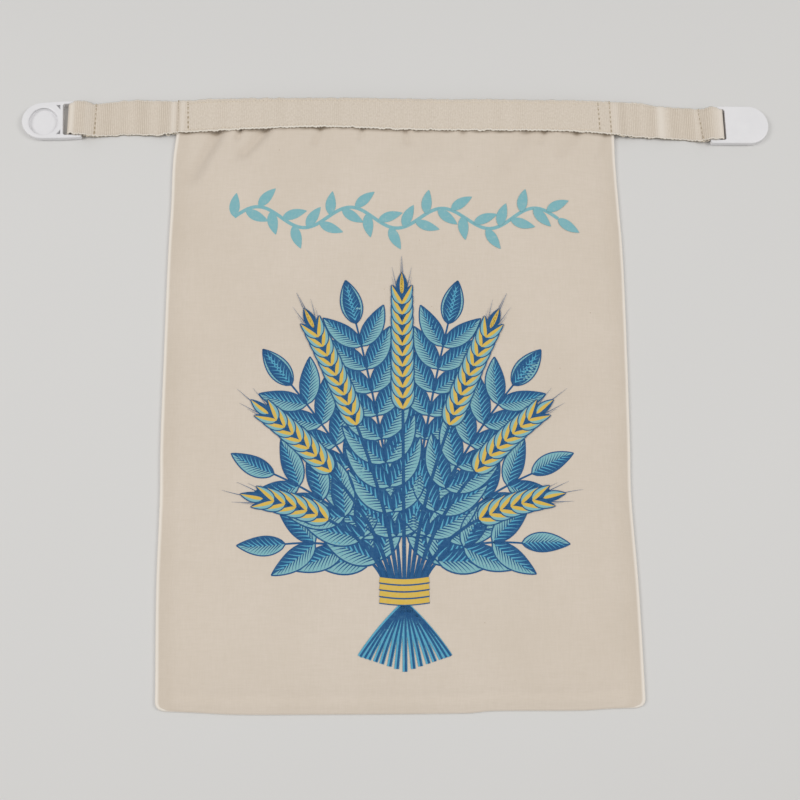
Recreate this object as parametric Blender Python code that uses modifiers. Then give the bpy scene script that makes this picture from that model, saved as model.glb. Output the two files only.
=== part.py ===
"""Bread bag: a flat cotton bag lying on its back, its mouth bound by one length of webbing.

The webbing runs on past both sides of the bag as two straps. Each strap is looped round
the bar of a white plastic clip half, one a round socket and the other a rounded tab.

Metres. X runs across the bag, Y up the bag towards its mouth, and Z up from the table.
The origin lies on the table, under the middle of the whole outline.
"""

from collections import namedtuple
import math

import bmesh
import bpy

# Cloth bag. The back lies flat on the table and the front is puffed up over it.
CLOTH_THICK = 0.0010
SEAM_RISE = 0.0014
SEAM_BULGE = 0.0007
SHELL_MERGE = 0.00001
EDGE_INSET = SEAM_BULGE + CLOTH_THICK / 2
MOUTH_UP = 0.2061
CORNER_ROUND = 0.0045

# How the front rises from its edges, and how it dips just below the sewn band
SIDE_ROLL = 0.052
BOTTOM_ROLL = 0.048
ROLL_POWER = 2.3
BAND_BLEND = 0.036
SEWN_DIP = 0.0014
SEWN_DIP_DOWN = 0.0065
SEWN_DIP_SPREAD = 0.0048

# Grid of the front, crowded towards the mouth and the seams
CLOTH_COLUMNS = 42
CLOTH_ROWS = 40
ROW_CROWDING = 1.45
FIRST_ROW = 0.006
COLUMN_CROWDING = math.radians(65)
SHARP_ANGLE = math.radians(50)

# Webbing, one strip from clip to clip
WEB_THICK = 0.0013
PIECE_GAP = 0.0003
WEB_STEP = 0.0056
WEB_ACROSS = 3

# Clips. The webbing narrows to pass through a slot, and lies over the arms past the bar.
CLIP_HEIGHT = 0.0044
SLOT_WIDTH = 0.0236
SLOT_MARGIN = 0.002
SLOT_CORNER = 0.0011
ARM_CORNER = 0.001
CUT_PAST = 0.0005
BAR_HEIGHT = 0.0025
BAR_LEVEL = 0.00315
BAR_EASE = 0.0003
EDGE_ROUND = 0.0005
ROUNDED_ANGLE = math.radians(40)
ARC_STEPS = 28

# Socket clip, at the left. It lies turned a little about a point of its bar.
SOCKET_UP = 0.1911
SOCKET_TURN = math.radians(3.0)
SOCKET_PIVOT = -0.2265
SOCKET_CENTRE = -0.2474
SOCKET_END = 0.0147
SOCKET_RING_WIDTH = 0.0270
SOCKET_ARMS_WIDTH = 0.0278
SOCKET_ARM_END = 0.0261
SOCKET_BAR_FROM = 0.0206
SOCKET_WALL_FROM = 0.0118
SOCKET_WALL_TO = 0.0134
SOCKET_RIM_RADIUS = 0.0100
SOCKET_FLOOR_RADIUS = 0.0083
SOCKET_FLOOR_LEVEL = 0.0022
RECESS_DROP = 0.0004
POCKET_DEPTH = 0.0022
POCKET_LENGTH = 0.0030
POCKET_WIDTH = 0.0036
POCKET_MARGIN = 0.0028

# Tab clip, at the right
TAB_UP = 0.1908
TAB_WIDTH = 0.0284
TAB_ARM_END = 0.2189
TAB_BAR_TO = 0.2250
TAB_BODY_FROM = 0.2300
TAB_ROUND_END = 0.2607
TAB_EDGE_ROUND = 0.0010

# Sides of the bag: distance up the bag, then where the left and right seams lie
Seam = namedtuple("Seam", "up left right")
SEAMS = (
    Seam(0.2071, -0.1553, 0.1509),
    Seam(0.1830, -0.1556, 0.1508),
    Seam(0.1620, -0.1572, 0.1506),
    Seam(0.1270, -0.1573, 0.1515),
    Seam(0.0910, -0.1580, 0.1523),
    Seam(0.0240, -0.1580, 0.1515),
    Seam(-0.0420, -0.1578, 0.1500),
    Seam(-0.0750, -0.1568, 0.1489),
    Seam(-0.1350, -0.1567, 0.1505),
    Seam(-0.1930, -0.1549, 0.1508),
    Seam(-0.2090, -0.1545, 0.1508),
)

# Bottom fold of the cloth: place across the bag, then how far down the fold lies
Bottom = namedtuple("Bottom", "across up")
BOTTOM_FOLD = (
    Bottom(-0.1580, -0.2065),
    Bottom(-0.1380, -0.2074),
    Bottom(-0.1080, -0.2090),
    Bottom(-0.0600, -0.2094),
    Bottom(0.0400, -0.2094),
    Bottom(0.0560, -0.2082),
    Bottom(0.1150, -0.2083),
    Bottom(0.1300, -0.2075),
    Bottom(0.1530, -0.2070),
)

# Loft of the front over the back along the middle of the bag
Crown = namedtuple("Crown", "up loft")
CROWNS = (
    Crown(-0.2100, 0.0050),
    Crown(-0.1500, 0.0062),
    Crown(-0.0600, 0.0066),
    Crown(0.0400, 0.0071),
    Crown(0.1100, 0.0078),
    Crown(0.1600, 0.0083),
    Crown(0.2071, 0.0083),
)

# Upper layer of the webbing: its lower and its top edge, each with its height
Edge = namedtuple("Edge", "across low_up low_height top_up top_height")
WEB_EDGES = (
    Edge(-0.2278, 0.1800, 0.00535, 0.2022, 0.00535),
    Edge(-0.2260, 0.1789, 0.00535, 0.2034, 0.00535),
    Edge(-0.2200, 0.1788, 0.00535, 0.2036, 0.00535),
    Edge(-0.2125, 0.1788, 0.00240, 0.2037, 0.00240),
    Edge(-0.2020, 0.1798, 0.00100, 0.2050, 0.00240),
    Edge(-0.1850, 0.1808, 0.00078, 0.2063, 0.00340),
    Edge(-0.1690, 0.1799, 0.00190, 0.2064, 0.00260),
    Edge(-0.1560, 0.1814, 0.00345, 0.2058, 0.00345),
    Edge(-0.1360, 0.1818, 0.00470, 0.2069, 0.00460),
    Edge(-0.1260, 0.1818, 0.00620, 0.2068, 0.00540),
    Edge(-0.1020, 0.1820, 0.00900, 0.2069, 0.00680),
    Edge(-0.0680, 0.1823, 0.01180, 0.2068, 0.00770),
    Edge(-0.0520, 0.1825, 0.01190, 0.2069, 0.00800),
    Edge(-0.0350, 0.1825, 0.01150, 0.2071, 0.00810),
    Edge(-0.0010, 0.1819, 0.01000, 0.2070, 0.00770),
    Edge(0.0320, 0.1818, 0.00960, 0.2067, 0.00790),
    Edge(0.0660, 0.1818, 0.00980, 0.2069, 0.00810),
    Edge(0.0940, 0.1819, 0.00990, 0.2067, 0.00790),
    Edge(0.1130, 0.1820, 0.00920, 0.2070, 0.00760),
    Edge(0.1340, 0.1821, 0.00690, 0.2073, 0.00630),
    Edge(0.1500, 0.1822, 0.00420, 0.2077, 0.00410),
    Edge(0.1685, 0.1813, 0.00180, 0.2072, 0.00380),
    Edge(0.1855, 0.1804, 0.00200, 0.2051, 0.00240),
    Edge(0.2025, 0.1797, 0.00090, 0.2049, 0.00120),
    Edge(0.2125, 0.1787, 0.00235, 0.2037, 0.00235),
    Edge(0.2186, 0.1788, 0.00535, 0.2033, 0.00535),
    Edge(0.2240, 0.1788, 0.00535, 0.2032, 0.00535),
    Edge(0.22585, 0.1797, 0.00535, 0.2019, 0.00535),
)

# Under layer of the webbing, from its sewn tail to the loop round a clip's bar. Each row is a
# distance back from the loop, the height of the layer's middle there, and its width.
Tail = namedtuple("Tail", "back height width")
LOOP_WIDTH = 0.0222
UNDER_BAR = BAR_LEVEL - BAR_HEIGHT / 2 - BAR_EASE - WEB_THICK / 2
TAILS = (
    Tail(0.0200, 0.00068, 0.0242),
    Tail(0.0150, 0.00068, 0.0242),
    Tail(0.0110, 0.00068, 0.0240),
    Tail(0.0080, UNDER_BAR, LOOP_WIDTH),
    Tail(0.0055, UNDER_BAR, LOOP_WIDTH),
    Tail(0.0030, UNDER_BAR, LOOP_WIDTH),
)
LOOP_STEPS = 9

# Soft folds of the front: ends of each fold, its rise (below zero it is a trough) and half width.
# Past its ends a fold fades out over FOLD_FADE times its half width.
FOLD_FADE = 1.3
Fold = namedtuple("Fold", "x0 y0 x1 y1 rise spread")
FOLDS = (
    Fold(-0.133, 0.182, -0.146, 0.146, -0.0026, 0.0075),
    Fold(-0.121, 0.176, -0.130, 0.150, 0.0009, 0.0060),
    Fold(-0.093, 0.182, -0.113, 0.166, -0.0024, 0.0065),
    Fold(-0.058, 0.182, -0.066, 0.171, -0.0024, 0.0060),
    Fold(-0.026, 0.182, -0.028, 0.172, -0.0018, 0.0055),
    Fold(0.010, 0.182, 0.011, 0.168, -0.0020, 0.0055),
    Fold(0.072, 0.182, 0.065, 0.172, -0.0016, 0.0060),
    Fold(0.124, 0.182, 0.108, 0.164, -0.0020, 0.0070),
    Fold(0.148, 0.176, 0.139, 0.160, -0.0014, 0.0060),
    Fold(-0.062, 0.162, 0.052, 0.156, 0.0008, 0.0090),
    Fold(0.030, 0.122, 0.088, 0.148, -0.0013, 0.0120),
    Fold(-0.152, 0.004, -0.112, -0.013, 0.0011, 0.0045),
    Fold(-0.152, 0.013, -0.114, -0.004, -0.0012, 0.0055),
    Fold(-0.144, -0.078, -0.076, -0.146, -0.0011, 0.0160),
    Fold(0.142, -0.162, 0.146, -0.200, -0.0012, 0.0070),
    Fold(-0.149, -0.178, -0.143, -0.203, 0.0009, 0.0050),
    Fold(0.104, 0.040, 0.120, 0.036, -0.0010, 0.0120),
    Fold(0.098, 0.010, 0.124, 0.004, 0.0009, 0.0110),
)


def read_table(rows, at, column):
    """One column of a table at a place along its first column, on a smooth curve."""
    ordered = sorted(rows)
    places = [row[0] for row in ordered]
    values = [getattr(row, column) for row in ordered]
    at = min(max(at, places[0]), places[-1])
    index = max(i for i in range(len(places) - 1) if places[i] <= at)

    def slope(i):
        before, after = max(i - 1, 0), min(i + 1, len(places) - 1)
        return (values[after] - values[before]) / (places[after] - places[before])

    span = places[index + 1] - places[index]
    t = (at - places[index]) / span
    rise = (values[index + 1] - values[index]) / span
    start, end = slope(index), slope(index + 1)
    curl = t * (1 - t) * span * ((start - rise) * (1 - t) - (end - rise) * t)
    return values[index] + rise * t * span + curl


def smooth_step(value):
    value = min(max(value, 0.0), 1.0)
    return value * value * (3 - 2 * value)


def mix(low, high, share):
    return low + (high - low) * share


def roll_up(distance, reach):
    """Share of the full loft at a distance in from an edge of the bag."""
    return 1 - (1 - min(max(distance / reach, 0.0), 1.0)) ** ROLL_POWER


def fold_rise(fold, x, y):
    """Height that one soft fold adds at a point: a ridge that fades past both of its ends."""
    run_x, run_y = fold.x1 - fold.x0, fold.y1 - fold.y0
    length = math.hypot(run_x, run_y)
    along = ((x - fold.x0) * run_x + (y - fold.y0) * run_y) / length
    aside = ((x - fold.x0) * run_y - (y - fold.y0) * run_x) / length
    past = max(-along, along - length, 0.0)
    return fold.rise * math.exp(-(aside / fold.spread) ** 2 - (past / (FOLD_FADE * fold.spread)) ** 2)


def web_height(x, y):
    """Height of the webbing's middle over a point of the mouth."""
    low_up = read_table(WEB_EDGES, x, "low_up")
    top_up = read_table(WEB_EDGES, x, "top_up")
    share = min(max((y - low_up) / (top_up - low_up), 0.0), 1.0)
    low_height = read_table(WEB_EDGES, x, "low_height")
    return mix(low_height, read_table(WEB_EDGES, x, "top_height"), share)


def front_height(x, y, left, right, bottom):
    """Height of the middle of the front cloth."""
    seam = CLOTH_THICK / 2 + SEAM_RISE
    lift = roll_up(min(x - left, right - x), SIDE_ROLL) * roll_up(y - bottom, BOTTOM_ROLL)
    body = seam + lift * (read_table(CROWNS, y, "loft") + sum(fold_rise(fold, x, y) for fold in FOLDS))
    under_web = web_height(x, y) - (WEB_THICK + CLOTH_THICK) / 2 - PIECE_GAP
    band_edge = read_table(WEB_EDGES, x, "low_up")
    share = smooth_step((y - band_edge + BAND_BLEND) / BAND_BLEND)
    dip = SEWN_DIP * lift * math.exp(-((y - band_edge + SEWN_DIP_DOWN) / SEWN_DIP_SPREAD) ** 2)
    return mix(body, under_web, share) - dip


def corner_inset(y, bottom):
    """How far a side draws in where it turns the rounded bottom corner."""
    down = min(max(1 - (y - bottom) / CORNER_ROUND, 0.0), 1.0)
    return CORNER_ROUND * (1 - math.sqrt(1 - down * down))


def row_place(index):
    """Share of the way up the bag of one row of the grid."""
    if index < 2:
        return index * FIRST_ROW
    return 1 - (1 - index / CLOTH_ROWS) ** ROW_CROWDING


def column_place(index):
    """Place of one column of the grid, from -1 at the left seam to 1 at the right."""
    return math.sin((2 * index / CLOTH_COLUMNS - 1) * COLUMN_CROWDING) / math.sin(COLUMN_CROWDING)


def cloth_rows():
    """The front's grid of points, from the bottom fold up to the mouth."""
    lowest = min(row.up for row in BOTTOM_FOLD)
    rows = []
    for i in range(CLOTH_ROWS + 1):
        share = row_place(i)
        level = mix(lowest, MOUTH_UP, share)
        left = read_table(SEAMS, level, "left") + EDGE_INSET
        right = read_table(SEAMS, level, "right") - EDGE_INSET
        middle, half = (left + right) / 2, (right - left) / 2
        row = []
        for j in range(CLOTH_COLUMNS + 1):
            across = column_place(j)
            bottom = read_table(BOTTOM_FOLD, middle + half * across, "up") + EDGE_INSET
            y = mix(bottom, MOUTH_UP, share)
            narrowed = half - corner_inset(y, bottom)
            x = middle + narrowed * across
            row.append((x, y, front_height(x, y, middle - narrowed, middle + narrowed, bottom)))
        rows.append(row)
    return rows


def object_from(mesh, name, collection, finish=None):
    thing = bpy.data.objects.new(name, mesh)
    collection.objects.link(thing)
    if finish:
        mesh.materials.append(finish)
    return thing


def add_solidify(thing, thickness):
    shell = thing.modifiers.new("cloth thickness", 'SOLIDIFY')
    shell.thickness = thickness
    shell.offset = 0.0
    shell.use_even_offset = True
    return shell


def make_sack(collection, finish):
    """One cloth, folded along the bottom and closed at both sides, with an open mouth."""
    shape = bmesh.new()
    front = [[shape.verts.new(point) for point in row] for row in cloth_rows()]
    for lower, upper in zip(front, front[1:]):
        for j in range(CLOTH_COLUMNS):
            shape.faces.new((lower[j], lower[j + 1], upper[j + 1], upper[j]))

    # the turned edge runs down the left seam, along the bottom fold and up the right seam
    edge = [row[0] for row in reversed(front)] + front[0][1:-1] + [row[-1] for row in front]
    bulged, flat = [], []
    for k, vert in enumerate(edge):
        before, after = edge[max(k - 1, 0)].co, edge[min(k + 1, len(edge) - 1)].co
        run_x, run_y = after.x - before.x, after.y - before.y
        length = math.hypot(run_x, run_y)
        out_x, out_y = run_y / length * SEAM_BULGE, -run_x / length * SEAM_BULGE
        if k in (0, len(edge) - 1):
            out_y = 0.0
        x, y, z = vert.co
        bulged.append(shape.verts.new((x + out_x, y + out_y, (z + CLOTH_THICK / 2) / 2)))
        flat.append(shape.verts.new((x, y, CLOTH_THICK / 2)))
    for upper, lower in ((edge, bulged), (bulged, flat)):
        for k in range(len(edge) - 1):
            shape.faces.new((upper[k + 1], upper[k], lower[k], lower[k + 1]))
    shape.faces.new(flat)

    mesh = bpy.data.meshes.new("sack")
    shape.to_mesh(mesh)
    shape.free()
    sack = object_from(mesh, "sack", collection, finish)
    shell = add_solidify(sack, CLOTH_THICK)
    shell.solidify_mode = 'NON_MANIFOLD'
    shell.nonmanifold_thickness_mode = 'CONSTRAINTS'
    shell.nonmanifold_merge_threshold = SHELL_MERGE
    mesh.shade_smooth()
    mesh.set_sharp_from_angle(angle=SHARP_ANGLE)
    return sack


def web_station(x):
    """Lower and top edge of the webbing's upper layer at a place across the bag."""
    low = (x, read_table(WEB_EDGES, x, "low_up"), read_table(WEB_EDGES, x, "low_height"))
    top = (x, read_table(WEB_EDGES, x, "top_up"), read_table(WEB_EDGES, x, "top_height"))
    return low, top


def tail_stations(fold_x, inward):
    """Under layer and loop of one end, from the sewn tail to where the upper layer starts."""
    loop_low, loop_top = web_station(fold_x)
    loop_up = (loop_low[1] + loop_top[1]) / 2
    stations = []
    for tail in TAILS:
        x = fold_x + inward * tail.back
        low, top = web_station(x)
        up = loop_up if tail.width == LOOP_WIDTH else (low[1] + top[1]) / 2
        stations.append(((x, up - tail.width / 2, tail.height), (x, up + tail.width / 2, tail.height)))
    radius = BAR_LEVEL - UNDER_BAR
    for k in range(LOOP_STEPS):
        turn = math.pi * k / LOOP_STEPS
        x = fold_x - inward * radius * math.sin(turn)
        z = BAR_LEVEL - radius * math.cos(turn)
        stations.append(((x, loop_low[1], z), (x, loop_top[1], z)))
    return stations


def make_webbing(collection, finish):
    """One strip of webbing across the mouth, with a loop round a clip's bar at each end."""
    stations = tail_stations(WEB_EDGES[0].across, 1)
    for here, there in zip(WEB_EDGES, WEB_EDGES[1:]):
        count = max(2, round((there.across - here.across) / WEB_STEP))
        stations += [web_station(mix(here.across, there.across, k / count)) for k in range(count)]
    stations.append(web_station(WEB_EDGES[-1].across))
    stations += reversed(tail_stations(WEB_EDGES[-1].across, -1))

    shape = bmesh.new()
    rows = []
    for low, top in stations:
        shares = [j / WEB_ACROSS for j in range(WEB_ACROSS + 1)]
        rows.append([shape.verts.new([mix(a, b, share) for a, b in zip(low, top)]) for share in shares])
    for here, there in zip(rows, rows[1:]):
        for j in range(WEB_ACROSS):
            shape.faces.new((here[j], there[j], there[j + 1], here[j + 1]))
    mesh = bpy.data.meshes.new("webbing")
    shape.to_mesh(mesh)
    shape.free()
    webbing = object_from(mesh, "webbing", collection, finish)
    add_solidify(webbing, WEB_THICK)
    mesh.shade_smooth()
    mesh.set_sharp_from_angle(angle=SHARP_ANGLE)
    return webbing


def arc_points(centre_x, centre_y, radius_x, radius_y, start, end):
    """Points along part of an oval, the angles in degrees."""
    points = []
    for k in range(ARC_STEPS + 1):
        angle = math.radians(mix(start, end, k / ARC_STEPS))
        points.append((centre_x + radius_x * math.cos(angle), centre_y + radius_y * math.sin(angle)))
    return points


def prism_from(outline, name, low, high, collection):
    """A solid of one flat outline between two heights."""
    curve = bpy.data.curves.new(name + " outline", 'CURVE')
    curve.dimensions = '2D'
    curve.fill_mode = 'BOTH'
    curve.extrude = (high - low) / 2
    spline = curve.splines.new('POLY')
    spline.points.add(len(outline) - 1)
    for point, (x, y) in zip(spline.points, outline):
        point.co = (x, y, 0.0, 1.0)
    spline.use_cyclic_u = True
    guide = bpy.data.objects.new(name + " outline", curve)
    guide.location.z = (low + high) / 2
    collection.objects.link(guide)
    bpy.context.view_layer.update()
    evaluated = guide.evaluated_get(bpy.context.evaluated_depsgraph_get())
    mesh = bpy.data.meshes.new_from_object(evaluated)
    mesh.name = name
    weld = bmesh.new()
    weld.from_mesh(mesh)
    bmesh.ops.remove_doubles(weld, verts=weld.verts, dist=0.000001)
    bmesh.ops.recalc_face_normals(weld, faces=weld.faces)
    weld.to_mesh(mesh)
    weld.free()
    solid = object_from(mesh, name, collection)
    solid.matrix_world = guide.matrix_world
    bpy.data.objects.remove(guide)
    bpy.data.curves.remove(curve)
    return solid


def hide_cutter(cutter):
    cutter.hide_render = True
    cutter.display_type = 'WIRE'
    return cutter


def swing(outline):
    """Turn an outline as the socket clip lies, about a point of its bar."""
    cosine, sine = math.cos(SOCKET_TURN), math.sin(SOCKET_TURN)
    turned = []
    for x, y in outline:
        across, along = x - SOCKET_PIVOT, y - SOCKET_UP
        turned.append((SOCKET_PIVOT + across * cosine - along * sine,
                       SOCKET_UP + across * sine + along * cosine))
    return turned


def cut_away(solid, cutter):
    cut = solid.modifiers.new(cutter.name, 'BOOLEAN')
    cut.operation = 'DIFFERENCE'
    cut.solver = 'EXACT'
    cut.object = cutter


def round_edges(solid, width):
    bevel = solid.modifiers.new("moulded edges", 'BEVEL')
    bevel.width = width
    bevel.segments = 2
    bevel.limit_method = 'ANGLE'
    bevel.angle_limit = ROUNDED_ANGLE
    return bevel


def cut_bar(solid, name, slot_up, bar_from, bar_to, open_end, cutters, place=list):
    """Leave a bar between the arms: a slot beside it, and room for the webbing under it."""
    low_up, high_up = slot_up - SLOT_WIDTH / 2, slot_up + SLOT_WIDTH / 2
    way = math.copysign(1, open_end - bar_to)
    slot = [(bar_to, low_up), (open_end - way * SLOT_CORNER, low_up), (open_end, low_up + SLOT_CORNER),
            (open_end, high_up - SLOT_CORNER), (open_end - way * SLOT_CORNER, high_up), (bar_to, high_up)]
    start, end = bar_from - way * SLOT_MARGIN, (bar_to + open_end) / 2
    under = [(start, low_up), (end, low_up), (end, high_up), (start, high_up)]
    bar_underside = BAR_LEVEL - BAR_HEIGHT / 2
    for part, outline, top in (("slot", slot, CLIP_HEIGHT + SLOT_MARGIN), ("under", under, bar_underside)):
        cutter = prism_from(place(outline), name + "_" + part, -SLOT_MARGIN, top, cutters)
        cut_away(solid, hide_cutter(cutter))


def make_socket(collection, cutters, finish):
    """Left clip half: a ring round a shallow recess, and two arms that carry the strap's bar."""
    half = SOCKET_ARMS_WIDTH / 2
    arm_end = SOCKET_CENTRE + SOCKET_ARM_END
    wall = SOCKET_CENTRE + SOCKET_WALL_FROM
    outline = arc_points(SOCKET_CENTRE, SOCKET_UP, SOCKET_END, SOCKET_RING_WIDTH / 2, 90, 270)
    outline += [(wall, SOCKET_UP - half), (arm_end - ARM_CORNER, SOCKET_UP - half)]
    outline += [(arm_end, SOCKET_UP - half + ARM_CORNER), (arm_end, SOCKET_UP + half - ARM_CORNER)]
    outline += [(arm_end - ARM_CORNER, SOCKET_UP + half), (wall, SOCKET_UP + half)]
    socket = prism_from(swing(outline), "clip_socket", 0.0, CLIP_HEIGHT, collection)
    socket.data.materials.append(finish)
    round_edges(socket, EDGE_ROUND)

    depth = CLIP_HEIGHT + CUT_PAST - SOCKET_FLOOR_LEVEL
    widening = (SOCKET_RIM_RADIUS - SOCKET_FLOOR_RADIUS) * depth / (depth - CUT_PAST)
    recess_x, recess_y = swing([(SOCKET_CENTRE, SOCKET_UP - RECESS_DROP)])[0]
    bpy.ops.mesh.primitive_cone_add(vertices=2 * ARC_STEPS, radius1=SOCKET_FLOOR_RADIUS,
                                    radius2=SOCKET_FLOOR_RADIUS + widening, depth=depth,
                                    location=(recess_x, recess_y, SOCKET_FLOOR_LEVEL + depth / 2))
    recess = bpy.context.object
    recess.name = "socket_recess"
    for owner in list(recess.users_collection):
        owner.objects.unlink(recess)
    cutters.objects.link(recess)
    cut_away(socket, hide_cutter(recess))

    for side, name in ((1, "socket_pocket_top"), (-1, "socket_pocket_low")):
        corner_y = SOCKET_UP + side * (half - POCKET_MARGIN)
        pocket = [(wall, corner_y), (wall - POCKET_LENGTH, corner_y), (wall, corner_y - side * POCKET_WIDTH)]
        floor = CLIP_HEIGHT - POCKET_DEPTH
        cutter = prism_from(swing(pocket), name, floor, CLIP_HEIGHT + CUT_PAST, cutters)
        cut_away(socket, hide_cutter(cutter))

    cut_bar(socket, "socket", SOCKET_UP, arm_end, SOCKET_CENTRE + SOCKET_BAR_FROM,
            SOCKET_CENTRE + SOCKET_WALL_TO, cutters, swing)
    return socket


def make_tab(collection, cutters, finish):
    """Right clip half: a thick tab with a round end, and two arms that carry the strap's bar."""
    half = TAB_WIDTH / 2
    centre = TAB_ROUND_END - half
    outline = arc_points(centre, TAB_UP, half, half, -90, 90)
    outline += [(TAB_ARM_END + ARM_CORNER, TAB_UP + half), (TAB_ARM_END, TAB_UP + half - ARM_CORNER)]
    outline += [(TAB_ARM_END, TAB_UP - half + ARM_CORNER), (TAB_ARM_END + ARM_CORNER, TAB_UP - half)]
    tab = prism_from(outline, "clip_tab", 0.0, CLIP_HEIGHT, collection)
    tab.data.materials.append(finish)
    round_edges(tab, TAB_EDGE_ROUND)
    cut_bar(tab, "tab", TAB_UP, TAB_ARM_END, TAB_BAR_TO, TAB_BODY_FROM, cutters)
    return tab


def make_finish(name, colour, roughness):
    finish = bpy.data.materials.new(name)
    finish.use_nodes = True
    shader = finish.node_tree.nodes["Principled BSDF"]
    shader.inputs["Base Color"].default_value = (*colour, 1.0)
    shader.inputs["Roughness"].default_value = roughness
    shader.inputs["Metallic"].default_value = 0.0
    return finish


def main():
    for thing in list(bpy.data.objects):
        bpy.data.objects.remove(thing)
    bag = bpy.data.collections.new("bread_bag")
    cutters = bpy.data.collections.new("cutters")
    for group in (bag, cutters):
        bpy.context.scene.collection.children.link(group)

    canvas = make_finish("unbleached cotton canvas", (0.62, 0.54, 0.45), 0.92)
    webbing = make_finish("cotton webbing", (0.64, 0.56, 0.47), 0.90)
    plastic = make_finish("white moulded plastic", (0.78, 0.78, 0.80), 0.38)

    make_sack(bag, canvas)
    make_webbing(bag, webbing)
    make_socket(bag, cutters, plastic)
    make_tab(bag, cutters, plastic)


main()
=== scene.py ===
"""A flat cotton bread bag on a pale table, its mouth bound by webbing with a white clip half at each end.

Metres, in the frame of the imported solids: X runs across the bag, Y up the bag towards its mouth,
and Z up from the table.
"""

from collections import namedtuple
import math

import bmesh
import bpy
import numpy as np
from mathutils import Matrix, Vector, noise
from mathutils.bvhtree import BVHTree


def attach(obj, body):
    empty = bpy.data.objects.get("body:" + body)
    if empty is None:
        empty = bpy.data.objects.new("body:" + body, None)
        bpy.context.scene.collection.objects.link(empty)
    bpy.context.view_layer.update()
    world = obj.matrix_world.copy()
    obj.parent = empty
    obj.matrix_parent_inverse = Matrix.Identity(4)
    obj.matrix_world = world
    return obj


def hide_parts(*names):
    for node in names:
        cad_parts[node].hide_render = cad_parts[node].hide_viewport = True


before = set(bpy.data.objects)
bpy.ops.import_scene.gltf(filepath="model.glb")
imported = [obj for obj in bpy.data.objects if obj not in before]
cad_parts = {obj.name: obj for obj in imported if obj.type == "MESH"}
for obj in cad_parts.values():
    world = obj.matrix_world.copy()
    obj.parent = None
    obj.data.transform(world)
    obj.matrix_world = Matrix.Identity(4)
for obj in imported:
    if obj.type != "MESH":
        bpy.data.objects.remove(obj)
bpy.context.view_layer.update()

# The sack is one length of unbleached cotton canvas, folded along the bottom, sewn up both
# sides inside out and turned. Its back lies flat, and its front stands a little puffed, with
# soft folds where the sewn band gathers it and where the side seams draw it in.
CLOTH_THICK = 0.0010
SEAM_RISE = 0.0014
SEAM_BULGE = 0.0007
EDGE_INSET = SEAM_BULGE + CLOTH_THICK / 2
MOUTH_UP = 0.2061
CORNER_ROUND = 0.0045
SIDE_ROLL = 0.052
BOTTOM_ROLL = 0.048
ROLL_POWER = 2.3
BAND_BLEND = 0.036
SEWN_DIP = 0.0003
SEWN_DIP_DOWN = 0.0065
SEWN_DIP_SPREAD = 0.0048
PIECE_GAP = 0.0003
WEB_THICK = 0.0013

# Cloth folded in behind each seam: how far in its ridge lies, its height and its half width
SEAM_LAP_IN = 0.0046
SEAM_LAP_RISE = 0.00036
SEAM_LAP_SPREAD = 0.0032
SEAM_TROUGH_IN = 0.0098
SEAM_TROUGH = 0.00030
SEAM_TROUGH_SPREAD = 0.0028

# Grid of the front and of the back, crowded towards the edges
CLOTH_COLUMNS = 220
EDGE_STEPS = 3
COLUMN_CROWDING = math.radians(62)
RowStep = namedtuple("RowStep", "up step")
ROW_STEPS = (
    RowStep(-0.2100, 0.0010),
    RowStep(-0.1930, 0.0014),
    RowStep(-0.1500, 0.0026),
    RowStep(0.1050, 0.0026),
    RowStep(0.1420, 0.0015),
    RowStep(0.1830, 0.0009),
    RowStep(0.1880, 0.0030),
    RowStep(0.2080, 0.0030),
)
LEVELS_TRIED = 2000
CREASE_ANGLE = math.radians(60)
BACK_MARGIN = 0.035

# Gentle unevenness of the loose cloth: size of the waves, and their height
WAVES = ((0.060, 0.00030), (0.021, 0.00010), (0.009, 0.00004))

Seam = namedtuple("Seam", "up left right")
SEAMS = (
    Seam(0.2071, -0.1553, 0.1509),
    Seam(0.1830, -0.1556, 0.1508),
    Seam(0.1620, -0.1572, 0.1506),
    Seam(0.1270, -0.1573, 0.1515),
    Seam(0.0910, -0.1580, 0.1523),
    Seam(0.0240, -0.1580, 0.1515),
    Seam(-0.0420, -0.1578, 0.1500),
    Seam(-0.0750, -0.1568, 0.1489),
    Seam(-0.1350, -0.1567, 0.1505),
    Seam(-0.1930, -0.1549, 0.1508),
    Seam(-0.2090, -0.1545, 0.1508),
)

Bottom = namedtuple("Bottom", "across up")
BOTTOM_FOLD = (
    Bottom(-0.1580, -0.2065),
    Bottom(-0.1380, -0.2074),
    Bottom(-0.1080, -0.2090),
    Bottom(-0.0600, -0.2094),
    Bottom(0.0400, -0.2094),
    Bottom(0.0560, -0.2082),
    Bottom(0.1150, -0.2083),
    Bottom(0.1300, -0.2075),
    Bottom(0.1530, -0.2070),
)

Crown = namedtuple("Crown", "up loft")
CROWNS = (
    Crown(-0.2100, 0.0050),
    Crown(-0.1500, 0.0062),
    Crown(-0.0600, 0.0066),
    Crown(0.0400, 0.0071),
    Crown(0.1100, 0.0078),
    Crown(0.1600, 0.0083),
    Crown(0.2071, 0.0083),
)

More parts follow.
